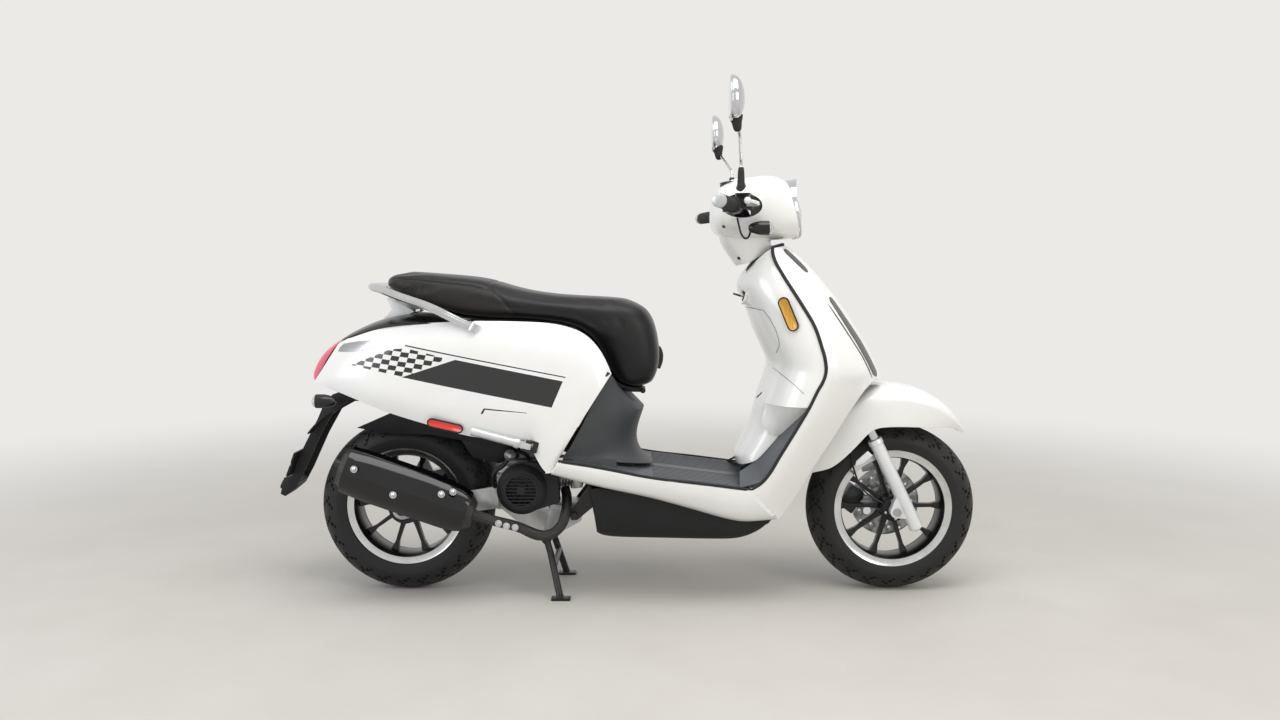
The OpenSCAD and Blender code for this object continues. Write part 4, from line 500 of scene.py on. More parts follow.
# %% Makers
def lathe(profile, place=(0, 0, 0), lean=0, sideways=False, steps=96):
    """Spins a profile of (radius, height) in mm about its axis. Lean tips the axis from up to ahead,
    and sideways lays it along Y."""
    rows = [(r / 1000, 0, h / 1000) for r, h in profile]
    piece = from_points(rows, edges=[(i, i + 1) for i in range(len(rows) - 1)])
    edit(piece,
         (bpy.ops.mesh.spin, {"steps": steps, "angle": math.tau, "center": (0, 0, 0), "axis": (0, 0, 1)}),
         all_selected,
         (bpy.ops.mesh.remove_doubles, {"threshold": 0.00001}),
         (bpy.ops.mesh.normals_make_consistent, {"inside": False}))
    turn = Matrix.Rotation(math.radians(90 if sideways else lean), 4, "X" if sideways else "Y")
    piece.matrix_world = Matrix.Translation(Vector(place) / 1000) @ turn
    return piece


def turned_set(place, lean, body, pieces):
    """Turned pieces on one axis. Each is (name, finish, slot, steps, profile)."""
    for name, finish, slot, steps, profile in pieces:
        settle(lathe(profile, place, lean, steps=steps), name, finish, body)


def tube(points, radius):
    """A round tube along points in mm, through which a smooth curve runs."""
    curve = bpy.data.curves.new("route", "CURVE")
    curve.dimensions = "3D"
    curve.bevel_depth = radius / 1000
    curve.bevel_resolution = 3
    curve.resolution_u = 5
    curve.use_fill_caps = True
    line = curve.splines.new("BEZIER")
    line.bezier_points.add(len(points) - 1)
    for knot, point in zip(line.bezier_points, points):
        knot.co = Vector(point) / 1000
        knot.handle_left_type = knot.handle_right_type = "AUTO"
    piece = only(linked(curve))
    bpy.ops.object.convert(target="MESH")
    return piece


def sided(side, line):
    """Points of a line on the left, mirrored to the right where side is -1."""
    return [(x, side * y, z) for x, y, z in line]


def upright(y, outline):
    """Points of the side view, put at one width."""
    return [(x, y, z) for x, z in outline]


def plate(points, thick, bevel=0.4, even=1.0):
    """A flat plate whose outline is points in mm, given in order, thickened towards its back."""
    piece = from_points([Vector(p) / 1000 for p in points], faces=[range(len(points))])
    modify(piece, "SOLIDIFY", thickness=thick / 1000, offset=-even)
    if bevel:
        modify(piece, "BEVEL", width=bevel / 1000, segments=2, limit_method="ANGLE", angle_limit=0.7)
    return piece


def inset_faces(piece, test, *insets):
    """Insets the faces that pass a test, once for each group of settings, and tells how many there are."""
    edit(piece, (bpy.ops.mesh.select_mode, {"type": "FACE"}), none_selected)
    for face in piece.data.polygons:
        face.select = test(face)
    print(piece.name, sum(face.select for face in piece.data.polygons), "faces chosen")
    bpy.ops.object.mode_set(mode="EDIT")
    for settings in insets:
        bpy.ops.mesh.inset(**settings)
    bpy.ops.object.mode_set(mode="OBJECT")


# %% [markdown]
# ## Tyres
# A scooter tyre has a round crown with slanted grooves at its shoulders and two grooves round the
# middle. The section is turned once, the groove faces are chosen by their step round the wheel and
# their place across it, and an inset with depth sinks them as the mould does.


# %% Tyres
def tyre(name, axle, radius, width, finish, body, node):
    """A tyre of that radius and width in mm. The grooves' places are degrees down from the crown."""
    steps = 144
    crown = width / 2
    hub = radius - crown
    across = [math.radians(-84 + 168 * k / 36) for k in range(37)]
    shoulder = [(hub + crown * math.cos(a), crown * math.sin(a)) for a in across]
    bead = [(157, -crown * 0.8), (160, -crown * 0.88)]
    profile = [*bead, *shoulder, (160, crown * 0.88), (157, crown * 0.8), bead[0]]
    piece = only(lathe(profile, [v * 1000 for v in axle], sideways=True, steps=steps))
    bpy.ops.object.transform_apply(location=True, rotation=True, scale=True)

    def in_groove(face):
        """Whether a face lies in a slanted sipe, a short sipe or the ring groove."""
        spot = face.center - axle
        reach = math.hypot(spot.x, spot.z)
        step = math.atan2(spot.z, spot.x) / math.tau * steps
        lean = math.degrees(math.atan2(abs(spot.y), reach - hub / 1000))
        side = 0 if spot.y > 0 else 3
        slanted = 18 < lean < 62 and (step + side + lean / 9) % 6 < 1.0
        short = 36 < lean < 70 and (step + side + 3 - lean / 12) % 6 < 1.0
        return slanted or short or 9 < lean < 14

    inset_faces(piece, in_groove, {"thickness": 0.0005, "depth": -0.004, "use_boundary": True})
    settle(piece, name, finish, body, 38, (node,))


tyre("front_tyre_rubber_ring", front_axle, 229, 110, front_tyre_rubber, "front_wheel", "front_tyre")
tyre("rear_tyre_rubber_ring", rear_axle, 236, 120, rear_tyre_rubber, "rear_wheel", "rear_tyre")

# %% [markdown]
# ## Wheels
# The cast wheels are painted gloss black, and the flange of each rim is machined bright. The flange
# is a turned ring that laps the tyre's bead, so it hides the seam between rim and rubber.


# %% Wheels
def bright_flange(name, axle, width, finish, body):
    """The machined ring on each side of a rim, at the place where the tyre's bead sits."""
    face = width * 0.33 + 7
    profile = [(140.4, face - 1.0), (141.2, face + 0.5), (149, face + 0.3), (156, face + 2.2),
               (160, face + 4.6), (161.8, face + 5.0), (162.4, face + 3.8), (158, face + 0.6),
               (152, face - 1.0), (140.4, face - 1.0)]
    for side in (1, -1):
        ring = lathe([(r, h * side) for r, h in profile], [v * 1000 for v in axle], sideways=True, steps=128)
        settle(ring, f"{name}_{'right' if side > 0 else 'left'}", finish, body, 40)


bright_flange("front_rim_flange", front_axle, 110, front_rim_ring, "front_wheel")
bright_flange("rear_rim_flange", rear_axle, 120, rear_rim_ring, "rear_wheel")
soft_edged("front_rim", "front_wheel_casting", wheel_paint, "front_wheel", width=0.0014)
soft_edged("rear_rim", "rear_wheel_casting", wheel_paint, "rear_wheel", width=0.0014)
soft_edged("brake_disc", "brake_disc_plate", front_disc_steel, "front_wheel", width=0.0003)

# %% [markdown]
# ## Hard parts
# Castings, covers and levers keep the exact shape of the model. Each gets a small bevel along its
# edges, because no moulded or cast edge is sharp and the bevel is what catches the light.

# %% Castings and covers
hard_parts = [
    ("fork_sliders", silver_paint, "fork_lower", "slider_silver", 1.2),
    ("fork_yoke", chrome, "steering", "chrome", 0.8),
    ("brake_caliper", dark_alloy, "fork_lower", "alloy_cast", 2.0),
    ("floorboard", floor_plastic, "chassis", "dark_plastic", 1.0),
    ("rear_mudguard", black_polypropylene, "chassis", "black_plastic", 1.0),
    ("crankcase", cast_alloy, "power_unit", "alloy_cast", 2.0),
    ("belt_cover", dark_alloy, "power_unit", "alloy_cast", 2.0),
    ("fan_shroud", black_polypropylene, "power_unit", "black_plastic", 1.2),
    ("cylinder_head", cast_alloy, "power_unit", "alloy_cast", 0.6),
    ("cooling_fan", dark_alloy, "fan", "alloy_cast", 0.4),
    ("centre_stand", black_paint, "stand", "frame_black", 1.0),
    ("switch_housings", smooth_black_abs, "steering", "black_plastic", 1.5),
    ("brake_lever_right", silver_paint, "lever_right", "slider_silver", 2.0),
    ("brake_lever_left", silver_paint, "lever_left", "slider_silver", 2.0),
    ("throttle_grip", rubber, "throttle", "rubber_black", 0.8),
    ("left_grip", rubber, "steering", "rubber_black", 0.8),
    ("passenger_peg_right", bright_alloy, "peg_right", "peg_alloy", 1.5),
    ("passenger_peg_left", bright_alloy, "peg_left", "peg_alloy", 1.5),
    ("start_button", button_plastic, "starter", "button_grey", 0.8),
    ("horn_button", button_plastic, "horn", "button_grey", 0.8),
    ("turn_switch", button_plastic, "indicator", "button_grey", 0.8),
    ("speedometer", smooth_black_abs, "steering", "dial", 0.8),
    ("seat_pan", black_polypropylene, "seat", "black_plastic", 0.8),
]
for node, finish, body, slot_name, bevel in hard_parts:
    soft_edged(node, node + "_finished", finish, body, width=bevel / 1000)

plain_parts = {
    "main_frame": black_paint, "helmet_box": black_polypropylene, "fuel_tank": black_paint,
    "fuel_cap": black_polypropylene, "front_axle": zinc, "shock_body": black_paint, "shock_rod": chrome,
    "shock_spring": spring_paint, "handlebar": black_paint, "ignition_key": smooth_black_abs,
    "brake_hose": hose_rubber, "grab_rail": chrome, "muffler": heat_paint,
    "headlight_lens": clear_lens,
}
for node, finish in plain_parts.items():
    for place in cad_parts[node].material_slots:
        place.material = finish

# %% [markdown]
# ## Seat
# The seat is moulded foam under a stretched vinyl cover. The cover pulls tight over the foam and
# crowns a little between its seams. The copy of the foam is remeshed, swollen by a short cloth
# simulation whose movement is capped at a few millimetres, and then the seams are drawn in where
# the rear pad's side panel meets its top and where the rear pad meets the rider's part.


# %% Seat foam
def swell(piece, pressure, cap):
    """Inflates a closed mesh with Blender's cloth and caps how far any point may move."""
    frames = 18
    rest = [vertex.co.copy() for vertex in piece.data.vertices]
    pinned = piece.vertex_groups.new(name="seat_base")
    base = [i for i, v in enumerate(piece.data.vertices) if v.normal.z < -0.6]
    pinned.add(base, 1.0, "REPLACE")
    cloth = piece.modifiers.new("Cover", "CLOTH")
    cloth.settings.use_pressure = True
    cloth.settings.uniform_pressure_force = pressure
    cloth.settings.effector_weights.gravity = 0
    cloth.settings.vertex_group_mass = "seat_base"
    cloth.settings.tension_stiffness = 25
    cloth.settings.quality = 5
    cloth.point_cache.frame_start, cloth.point_cache.frame_end = 1, frames
    for number in range(1, frames + 1):
        bpy.context.scene.frame_set(number)
    only(piece)
    bpy.ops.object.modifier_apply(modifier="Cover")
    bpy.context.scene.frame_set(1)
    for vertex, start in zip(piece.data.vertices, rest):
        move = vertex.co - start
        if move.length > cap:
            vertex.co = start + move.normalized() * cap
    print("seat swollen,", len(rest), "points")


seat = copy_of("seat_cushion")
edit(seat, four_sided)
modify(seat, "SUBSURF", levels=2, render_levels=2)
modify(seat, "REMESH", mode="VOXEL", voxel_size=0.007)
modify(seat, "SMOOTH", factor=0.5, iterations=6)
swell(seat, 2.0, 0.005)
modify(seat, "SUBSURF", levels=1, render_levels=1)

# Seams in the side view, in mm: the rear pad's side seam, and the line between the two pads.
pillion_side_seam = [(-640, 838), (-600, 852), (-540, 848), (-470, 841), (-400, 834), (-360, 824)]
pad_divide_seam = [(-349, 850), (-352, 838), (-345, 824), (-322, 800), (-300, 775), (-284, 744)]


def near_line(spot, line):
    """Distance in mm in the side view from a point to a line of points."""
    best = 1e9
    point = Vector((spot.x * 1000, spot.z * 1000))
    for start, end in zip(line, line[1:]):
        a, b = Vector(start), Vector(end)
        share = max(0.0, min(1.0, (point - a).dot(b - a) / (b - a).length_squared))
        best = min(best, (point - a - (b - a) * share).length)
    return best


def draw_in(piece, line, width, depth, keep):
    """Pulls the cover in along a seam by depth in mm, fading over its width."""
    for vertex in piece.data.vertices:
        if keep(vertex):
            gap = near_line(vertex.co, line)
            if gap < width:
                share = 0.5 + 0.5 * math.cos(math.pi * gap / width)
                vertex.co -= vertex.normal * depth * share / 1000


draw_in(seat, pad_divide_seam, 7, 2.6, lambda v: v.normal.z > -0.4)
draw_in(seat, pillion_side_seam, 6, 1.8, lambda v: abs(v.normal.y) > 0.25)


# %% Vinyl
def vinyl(name, colour, patch_colour, grain_mm, roughness):
    """Pebble-grained vinyl: cells of the grain with soft creases between them, and a satin shine."""
    material, shader, place = new_finish(name, Sheen_Weight=0.15, Sheen_Roughness=0.4,
                                         Specular_IOR_Level=0.32)
    cells = add_node(material, "TexVoronoi", {"Scale": 1000 / grain_mm, "feature": "SMOOTH_F1"},
                     {"Vector": (place, "Object")})
    creases = add_node(material, "TexNoise", {"Scale": 14.0, "Detail": 6.0, "Roughness": 0.62},
                       {"Vector": (place, "Object")})
    height = add_node(material, "Math", {"operation": "MULTIPLY_ADD", 1: 0.4},
                      {0: (cells, "Distance"), 2: (creases, "Fac")})
    tint = add_node(material, "Mix", {"data_type": "RGBA", 6: srgb(colour), 7: srgb(patch_colour)},
                    {0: (creases, "Fac")})
    shine = add_node(material, "MapRange", {"To Min": roughness - 0.08, "To Max": roughness + 0.1},
                     {"Value": (creases, "Fac")})
    bump = add_node(material, "Bump", {"Strength": 0.45, "Distance": 0.0007}, {"Height": (height, 0)})
    return surface(material, shader, Base_Color=(tint, 2), Roughness=(shine, "Result"),
                   Normal=(bump, "Normal"))


rider_vinyl = vinyl("smooth_black_vinyl", "#0c0c0e", "#141416", 1.8, 0.42)
pillion_vinyl = vinyl("grained_brown_black_vinyl", "#181514", "#221e1c", 3.2, 0.5)
settle(seat, "seat_cover", rider_vinyl, "seat", 60, ("seat_cushion",))


def on_pillion_side(centre, normal):
    """True below the rear pad's seam, which falls both ways from its top, and behind the divide."""
    x, z = centre.x * 1000, centre.z * 1000
    seam_top_x, seam_top_z = -600, 852
    slope = -0.13 if x > seam_top_x else 0.35
    seam = seam_top_z + (x - seam_top_x) * slope
    divide = -349 + (850 - z) * 0.6
    return x < divide and z < seam and abs(normal.y) > 0.15


paint(seat, pillion_vinyl, on_pillion_side)

# %% [markdown]
# The seams are finished with a thin bead of piping, which lies in the groove that was drawn in.
# Its points are pressed onto the cover from the side, so it follows the cover's swell.


# %% Piping
def piping(line, side, target, radius, name, finish, body):
    """A bead along a line of the side view, laid on the target's surface."""
    laid = []
    for start, end in zip(line, line[1:]):
        for share in (0, 0.25, 0.5, 0.75):
            x, z = start[0] + (end[0] - start[0]) * share, start[1] + (end[1] - start[1]) * share
            found, spot, normal, _ = target.ray_cast(Vector((x / 1000, side * 0.4, z / 1000)),
                                                     Vector((0, -side, 0)))
            if found:
                laid.append((spot + normal * 0.0001) * 1000)
    return settle(tube(laid, radius), name, finish, body)


for side, word in SIDES:
    piping(pillion_side_seam[1:], side, seat, 1.0, "pillion_seam_" + word, pillion_vinyl, "seat")
    piping(pad_divide_seam[2:], side, seat, 1.0, "pad_seam_" + word, rider_vinyl, "seat")

# %% [markdown]
# ## Lofted shells
# The silencer, the mirror heads and the headlight pod are bodies whose section changes along their
# length. Each is a row of rings joined by faces, closed at both ends and smoothed by subdivision.


# %% Loft
def loft(rings, levels=2, creased=(0, -1)):
    """A closed body through rings of points in mm. The end rings are creased so that they stay crisp."""
    count = len(rings[0])
    points = [Vector(p) / 1000 for ring in rings for p in ring]
    faces = [(r * count + k, r * count + (k + 1) % count, (r + 1) * count + (k + 1) % count,
              (r + 1) * count + k)
             for r in range(len(rings) - 1) for k in range(count)]
    faces += [tuple(range(count)), tuple(range(len(points) - count, len(points)))]
    piece = from_points(points, faces=faces)
    edit(piece, (bpy.ops.mesh.normals_make_consistent, {"inside": False}))
    ends = {r % len(rings) for r in creased}
    marks = piece.data.attributes.new("crease_edge", "FLOAT", "EDGE")
    for edge in piece.data.edges:
        a, b = (v // count for v in edge.vertices)
        marks.data[edge.index].value = 1.0 if a == b and a in ends else 0.0
    return modify(piece, "SUBSURF", levels=levels, render_levels=levels) if levels else piece


# %% [markdown]
# ## Edge trim and strips
# A black rubber trim runs round the leg shield and along the floor. Smoked strips lie on the nose,
# and silver wedges frame the tail lamp. The strips are pressed onto the shield's own surface, so
# they follow its curve.

# %% Black edge trim
shield_edge = [(322, 199, 314), (346, 201, 330), (368, 203, 357), (393, 204, 400), (418, 205, 442),
               (443, 205, 484), (467, 205, 526), (487, 205, 568), (499, 205, 590), (506, 204, 612),
               (505, 202, 642), (495, 196, 682), (479, 186, 730), (455, 171, 774), (428, 152, 820),
               (404, 130, 862), (386, 106, 902), (384, 88, 928), (398, 62, 935), (414, 30, 940)]
whole_edge = [*sided(-1, shield_edge), (422, 0, 942), *reversed(shield_edge)]
settle(tube(whole_edge, 4.6), "shield_edge_trim", rubber, "chassis")
floor_edge = [(-170, 388), (-65, 371.5), (63, 345.5), (190, 330.5), (293, 317.5), (322, 314)]
for side, word in SIDES:
    settle(tube(upright(side * 200.5, floor_edge), 3.0), "floor_edge_trim_" + word, rubber, "chassis")


# %% Nose strips
def along_line(line, share):
    """The point at a share of the way along a line of points."""
    spot = share * (len(line) - 1)
    k = min(int(spot), len(line) - 2)
    return Vector(line[k]).lerp(Vector(line[k + 1]), spot - k)


ray_start = 0.5


def outermost(targets, x, z, side, least=0.03):
    """Where a ray from that side first meets any of the targets, at least that far out, and the normal."""
    best = None
    for target in targets:
        hit, spot, normal, _ = target.ray_cast(Vector((x / 1000, side * ray_start, z / 1000)),
                                               Vector((0, -side, 0)))
        if hit and side * spot.y > least and (best is None or side * spot.y > side * best[0].y):
            best = (spot, normal)
    return best


def net(points, rows, outward, thick):
    """A sheet through rows of points, which faces outward and is thickened towards its back."""
    width = rows + 1
    faces = [(n, n + 1, n + width + 1, n + width) for n in range(len(points) - width) if n % width < rows]
    piece = from_points(points, faces=faces)
    edit(piece, (bpy.ops.mesh.remove_doubles, {"threshold": 0.00001}))
    if sum(face.normal.dot(outward) * face.area for face in piece.data.polygons) < 0:
        edit(piece, (bpy.ops.mesh.flip_normals, {}))
    return modify(piece, "SOLIDIFY", thickness=thick / 1000, offset=-1.0)


def laid_strip(name, front_line, rear_line, side, targets, finish, lift, rows=8, round_ends=True,
               least=0.03):
    """A strip between two lines of the side view, laid on the targets by rays from that side. Where a
    ray goes through a gap, the strip bridges it."""
    steps = 44
    points = []
    for i in range(steps + 1):
        share = i / steps
        taper = min(1.0, 8 * share, 8 * (1 - share)) ** 0.5 if round_ends else 1.0
        front, rear = along_line(front_line, share), along_line(rear_line, share)
        row = []
        for k in range(rows + 1):
            x, z = front.lerp(rear, 0.5 + (k / rows - 0.5) * taper)
            row.append((x, z, outermost(targets, x, z, side, least)))
        found = [k for k, (_, _, met) in enumerate(row) if met]
        for k, (x, z, met) in enumerate(row):
            if met:
                points.append(met[0] + met[1] * lift / 1000)
            elif found:
                before = max([n for n in found if n < k], default=found[0])
                after = min([n for n in found if n > k], default=found[-1])
                share_y = (k - before) / (after - before) if after != before else 0.0
                y = row[before][2][0].y * (1 - share_y) + row[after][2][0].y * share_y
                points.append(Vector((x / 1000, y + side * lift / 1000, z / 1000)))
            else:
                points.append(Vector((x / 1000, points[-rows - 1].y if len(points) > rows else side * 0.17,
                                      z / 1000)))
    settle(net(points, rows, Vector((0, side, 0)), max(2.0 * lift, 1.0)), name, finish, "chassis", 40)


# Each is its name, finish, slot, lift in mm, front line and rear line.
nose_strips = [
    ("upper_nose_strip_", smoked_strip, "glass", 1.4,
     [(422, 930), (451, 902), (481, 871)], [(409, 926), (440, 895), (474, 863)]),
    ("lower_nose_strip_", smoked_strip, "glass", 1.4,
     [(536, 807), (548, 791), (580, 743), (620, 684), (658, 616), (669, 595)],
     [(529, 796), (536, 786), (566, 736), (606, 673), (645, 606), (655, 589)]),
    # The nose groove is a thin black strip laid on the shield: painted shade of the groove's inset line.
    ("nose_groove_shade_", smooth_black_abs, "black_plastic", 0.4,
     [(524, 788), (577, 708), (616, 650), (648, 590)], [(521, 786), (574, 706), (613, 648), (645, 588)]),
]
for side, word in SIDES:
    for name, finish, slot, lift, front_line, rear_line in nose_strips:
        laid_strip(name + word, front_line, rear_line, side, [shield], finish, lift)

# %% [markdown]
# The silver wedges frame the tail lamp, and white fillets close the joints where the skirt meets the
# shield and the rear panel, which on the moulded body is one unbroken surface.

# %% Tail wedges and fillets
for side, word in SIDES:
    laid_strip("tail_wedge_" + word, [(-752, 670), (-741, 680), (-700, 687), (-660, 690), (-622, 690)],
               [(-757, 659), (-714, 660), (-685, 664), (-650, 671), (-624, 689)], side, [panels, trim],
               tail_silver, 0.8, round_ends=False)
    laid_strip("shield_fillet_" + word, [(323, 319), (345, 297), (368, 275), (396, 246)],
               [(305, 309), (330, 285), (352, 263), (380, 235)], side, [shield, skirts], white_lacquer,
               0.5, rows=16, round_ends=False, least=0.15)
    laid_strip("panel_fillet_" + word, [(-160, 392), (-166, 374), (-172, 356)],
               [(-196, 392), (-202, 370), (-206, 352)], side, [panels, skirts],
               white_lacquer, 0.4, rows=16, round_ends=False, least=0.15)

# %% [markdown]
# ## Grab rail, exhaust and silencer
# The chrome rail and the black header pipe are smooth tubes laid over the faceted ones of the exact
# model, and the silencer's can is a loft of the same sections.

# %% Rail and exhaust
rail_half = [(-384, 166, 724), (-425, 163, 742), (-501, 158, 778), (-578, 150, 804), (-628, 134, 822),
             (-658, 104, 828), (-670, 60, 829)]
rail_line = [*sided(-1, rail_half), (-672, 0, 829), *reversed(rail_half)]
settle(tube(rail_line, 11), "grab_rail_tube", chrome, "chassis")
for side, word in SIDES:
    stay = plate(upright(side * 60, [(-636, 800), (-606, 793), (-561, 763), (-590, 750), (-648, 740),
                                     (-622, 768)]),
                 4, 0.8)
    settle(stay, "grab_rail_stay_" + word, silver_paint, "chassis")
header = [(-166, -30, 276), (-160, -66, 266), (-160, -98, 232), (-178, -108, 190), (-218, -115, 172),
          (-288, -126, 200), (-345, -138, 218), (-400, -148, 238)]
settle(tube(header, 13.5), "exhaust_header", heat_paint, "power_unit")
can_sections = [(-398, 236, 34, 34), (-412, 244, 48, 42), (-440, 254, 58, 47), (-500, 278, 62, 49),
                (-560, 300, 63, 50), (-620, 321, 63, 50), (-680, 342, 62, 49), (-722, 357, 58, 45),
                (-738, 362, 44, 34)]
can_y, can_slant, can_upright, paint_gap = -150, 0.333, 0.943, 0.5


def can_ring(x, z, tall, wide):
    """One leaning oval of the can, a paint's thickness outside the exact one."""
    turns = [math.tau * k / 24 for k in range(24)]
    rises = [(tall + paint_gap) * math.sin(turn) for turn in turns]
    return [(x + can_slant * rise, can_y - (wide + paint_gap) * math.cos(turn), z + can_upright * rise)
            for turn, rise in zip(turns, rises)]


can_rings = [can_ring(*section) for section in can_sections]
settle(loft(can_rings), "silencer_can", heat_paint, "power_unit", 50)


# %% [markdown]
# ## Bolts
# One hex bolt with its washer is modelled, and each place gets a copy with its own mesh.


# %% Bolts
def hex_bolt(radius, finish, domed=False):
    """A bolt head on its washer, of that radius in mm: six flats, or a round dome."""
    if domed:
        body = lathe([(0, 1.0), (0.3, 0.97), (0.62, 0.78), (0.85, 0.4), (0.9, 0.2), (1.3, 0.16), (1.34, 0),
                      (0, 0)],
                     steps=32)
    else:
        body = lathe([(0, 0.75), (0.86, 0.75), (1, 0.62), (1, 0.2), (1.38, 0.18), (1.42, 0), (0, 0)],
                     steps=48)
        washer_top, flat = 0.00019, math.tau / 6
        for vertex in body.data.vertices:
            reach = math.hypot(vertex.co.x, vertex.co.y) * 1000
            if vertex.co.z > washer_top and reach > 0.5:
                turn = (math.atan2(vertex.co.y, vertex.co.x) + math.tau) % flat - flat / 2
                vertex.co.xy *= math.cos(flat / 2) / math.cos(turn)
    body.data.transform(Matrix.Scale(radius, 4))
    body.data.materials.append(finish)
    return body


def bolts(name, pattern, places, body, direction):
    """Copies of a bolt at places in mm, pointing along a direction."""
    turn = Vector(direction).to_track_quat("Z", "X").to_matrix().to_4x4()
    for number, place in enumerate(places):
        mesh = pattern.data.copy()
        mesh.transform(Matrix.Translation(Vector(place) / 1000) @ turn)
        settle(linked(mesh), f"{name}_{number}", None, body, 30)


chrome_bolt = hex_bolt(7.0, chrome, domed=True)
zinc_bolt = hex_bolt(5.0, zinc)
header_bolt = hex_bolt(6.5, bright_alloy)
black_screw = hex_bolt(3.6, smooth_black_abs, domed=True)
right = (0, -1, 0)
bolts("guard_bolt", chrome_bolt, [(-689, -209, 368), (-591, -209, 302), (-468, -209, 304), (-439, -205, 309)],
      "power_unit", right)
bolts("header_bolt", header_bolt, [(-332, -151, 214), (-312, -147, 206), (-290, -142, 201)], "power_unit",
      right)
bolts("cover_bolt", zinc_bolt, upright(136, [(-330, 345), (-228, 345), (-225, 250), (-470, 320), (-470, 215),
                                             (-640, 262), (-600, 188)]), "power_unit", (0, 1, 0))
for pattern in (chrome_bolt, zinc_bolt, header_bolt):
    bpy.data.objects.remove(pattern)

# %% [markdown]
# ## Headlight
# The lamp is a clear cover over a bright reflector with a bulb in it. A chrome bezel holds the cover
# and stands further forward over its top, as a small peak.

# %% Headlight
lamp_place, lamp_lean = (442, 0, 1034), 75.7
bezel = lathe([(70.3, 1), (71, 7), (74, 9.5), (77.5, 8), (79.5, 2), (79.5, -12), (77, -12), (70.3, -4),
               (70.3, 1)],
              lamp_place, lamp_lean)
bezel_radius, peak_length, bezel_rim = 0.079, 0.026, 0.004
for vertex in bezel.data.vertices:
    upward = max(0.0, -vertex.co.x / bezel_radius)
    if vertex.co.z > bezel_rim:
        vertex.co.z += peak_length * upward ** 2
settle(bezel, "headlight_bezel", chrome, "steering")
turned_set(lamp_place, lamp_lean, "steering", [
    ("headlight_reflector", chrome, "chrome", 96,
     [(69.5, -2), (64, -12), (50, -25), (30, -35), (12, -39), (12, -41), (32, -37), (52, -27), (66, -13),
      (69.9, -2), (69.5, -2)]),
    ("headlight_bulb", clear_lens, "glass", 32,
     [(0, -8), (4, -9), (7, -13), (8, -20), (8, -38), (14, -38), (14, -44), (0, -44)]),
    ("headlight_seat", smooth_black_abs, "black_plastic", 96,
     [(70.5, -12), (76, -12), (76, -1), (70.5, -1), (70.5, -12)]),
])

# %% [markdown]
# ## Turn signals
# Each is a black bullet on a short stalk, with a clear cover over an amber bulb.


# %% Turn signals
def signal(name, place, lean, inner_y, body):
    """A turn signal at a place in mm, whose stalk ends at a width inside the bodywork."""
    x, y, z = place
    turned_set(place, lean, body, [
        (name + "_shell", smooth_black_abs, "signal", 48,
         [(0, -27), (6, -26), (11, -21), (14, -12), (16.6, -4), (18, 4), (18.4, 20), (18.2, 25.5), (17, 26),
          (16.6, 20), (0, 12)]),
        (name + "_cover", clear_lens, "glass", 48,
         [(17.2, 20), (17.4, 26.4), (15.8, 30), (11, 34), (5, 36), (0, 36.4), (0, 34.6), (5, 34.2),
          (10.4, 32.4), (14.6, 28.8), (16, 25.6), (16, 20), (17.2, 20)]),
        (name + "_bulb", amber_reflector, "signal", 24, [(0, 30), (4, 29), (6, 25), (6, 12), (0, 12)]),
    ])
    outward = 1 if y > 0 else -1
    stalk = tube([(x, y - outward * 4, z), (x, y - outward * 14, z), (x, inner_y * outward, z)], 7)
    settle(stalk, name + "_stalk", rubber, body)


for side, word in SIDES:
    signal("front_signal_" + word, (338, side * 166, 978), 90, 118, "steering")
    signal("rear_signal_" + word, (-786, side * 112, 530), -90, 56, "chassis")
for end in ("front", "rear"):
    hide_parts(end + "_turn_signals")

# %% [markdown]
# ## Mirrors
# A mirror is a chrome teardrop shell on a thin chrome stem, with a rubber boot over its lock nut and
# another over its ball joint. The glass lies in the shell's open face.

# %% Mirrors
head_outline = [(-14, 0), (-40, 12), (-53, 34), (-55, 56), (-46, 80), (-30, 98), (-12, 108), (0, 110),
                (12, 107), (28, 98), (43, 80), (51, 56), (49, 34), (38, 12), (14, 0)]
head_layers = [(0, 0.94), (1.5, 0.99), (5, 1), (12, 0.97), (20, 0.88), (27, 0.7), (32, 0.42), (34, 0.14)]


def head_ring(side, depth, share):
    """The mirror head's outline at a depth behind its face, drawn smaller by a share."""
    return [(252 + depth, side * (298 + y * share), 1272 + (z - 48) * share) for y, z in head_outline]


stem_x, stem_y = 295.6, 128
stem_line = [(stem_x, stem_y, 1064), (stem_x, stem_y, 1122), (294.6, 132, 1150), (290, 162, 1166),
             (282, 230, 1194), (272, 280, 1216)]
for side, word in SIDES:
    shell = loft([head_ring(side, depth, share) for depth, share in head_layers], creased=(0,))
    settle(shell, "mirror_shell_" + word, chrome, "mirror_" + word, 50, ("mirror_head_" + word,))
    glass = plate([(251.4, y, z) for _, y, z in head_ring(side, 0, 0.88)], 1.2, even=0.0)
    settle(glass, "mirror_glass_" + word, mirror_glass, "mirror_" + word)
    boot = lathe([(0, -13), (6, -12), (9.5, -7), (11, 0), (12, 8), (15, 16), (17, 24), (15, 28), (0, 30)],
                 (270, side * 282, 1214), -8, steps=40)
    settle(boot, "mirror_joint_boot_" + word, rubber, "mirror_" + word)
    settle(tube(sided(side, stem_line), 4.3), "mirror_stem_" + word, chrome, "steering", 60,
           ("mirror_stems",))
    foot = lathe([(0, 0), (10.5, 0), (11, 3), (10.4, 6), (10.8, 9), (10.2, 12), (10.6, 15), (10, 18),
                  (9.2, 34), (8.4, 52), (7.6, 60), (6, 64), (0, 65)], (stem_x, side * stem_y, 1070), steps=40)
    settle(foot, "mirror_foot_boot_" + word, rubber, "steering")

# %% [markdown]
# ## Reflectors
# Each reflector is a capsule in a thin dark frame. Its face gets the prism lens, amber in front and
# red behind, and its edge stays black.

# %% Reflectors
reflectors = soft_edged("reflectors", "reflector_capsules", smooth_black_abs, "chassis")


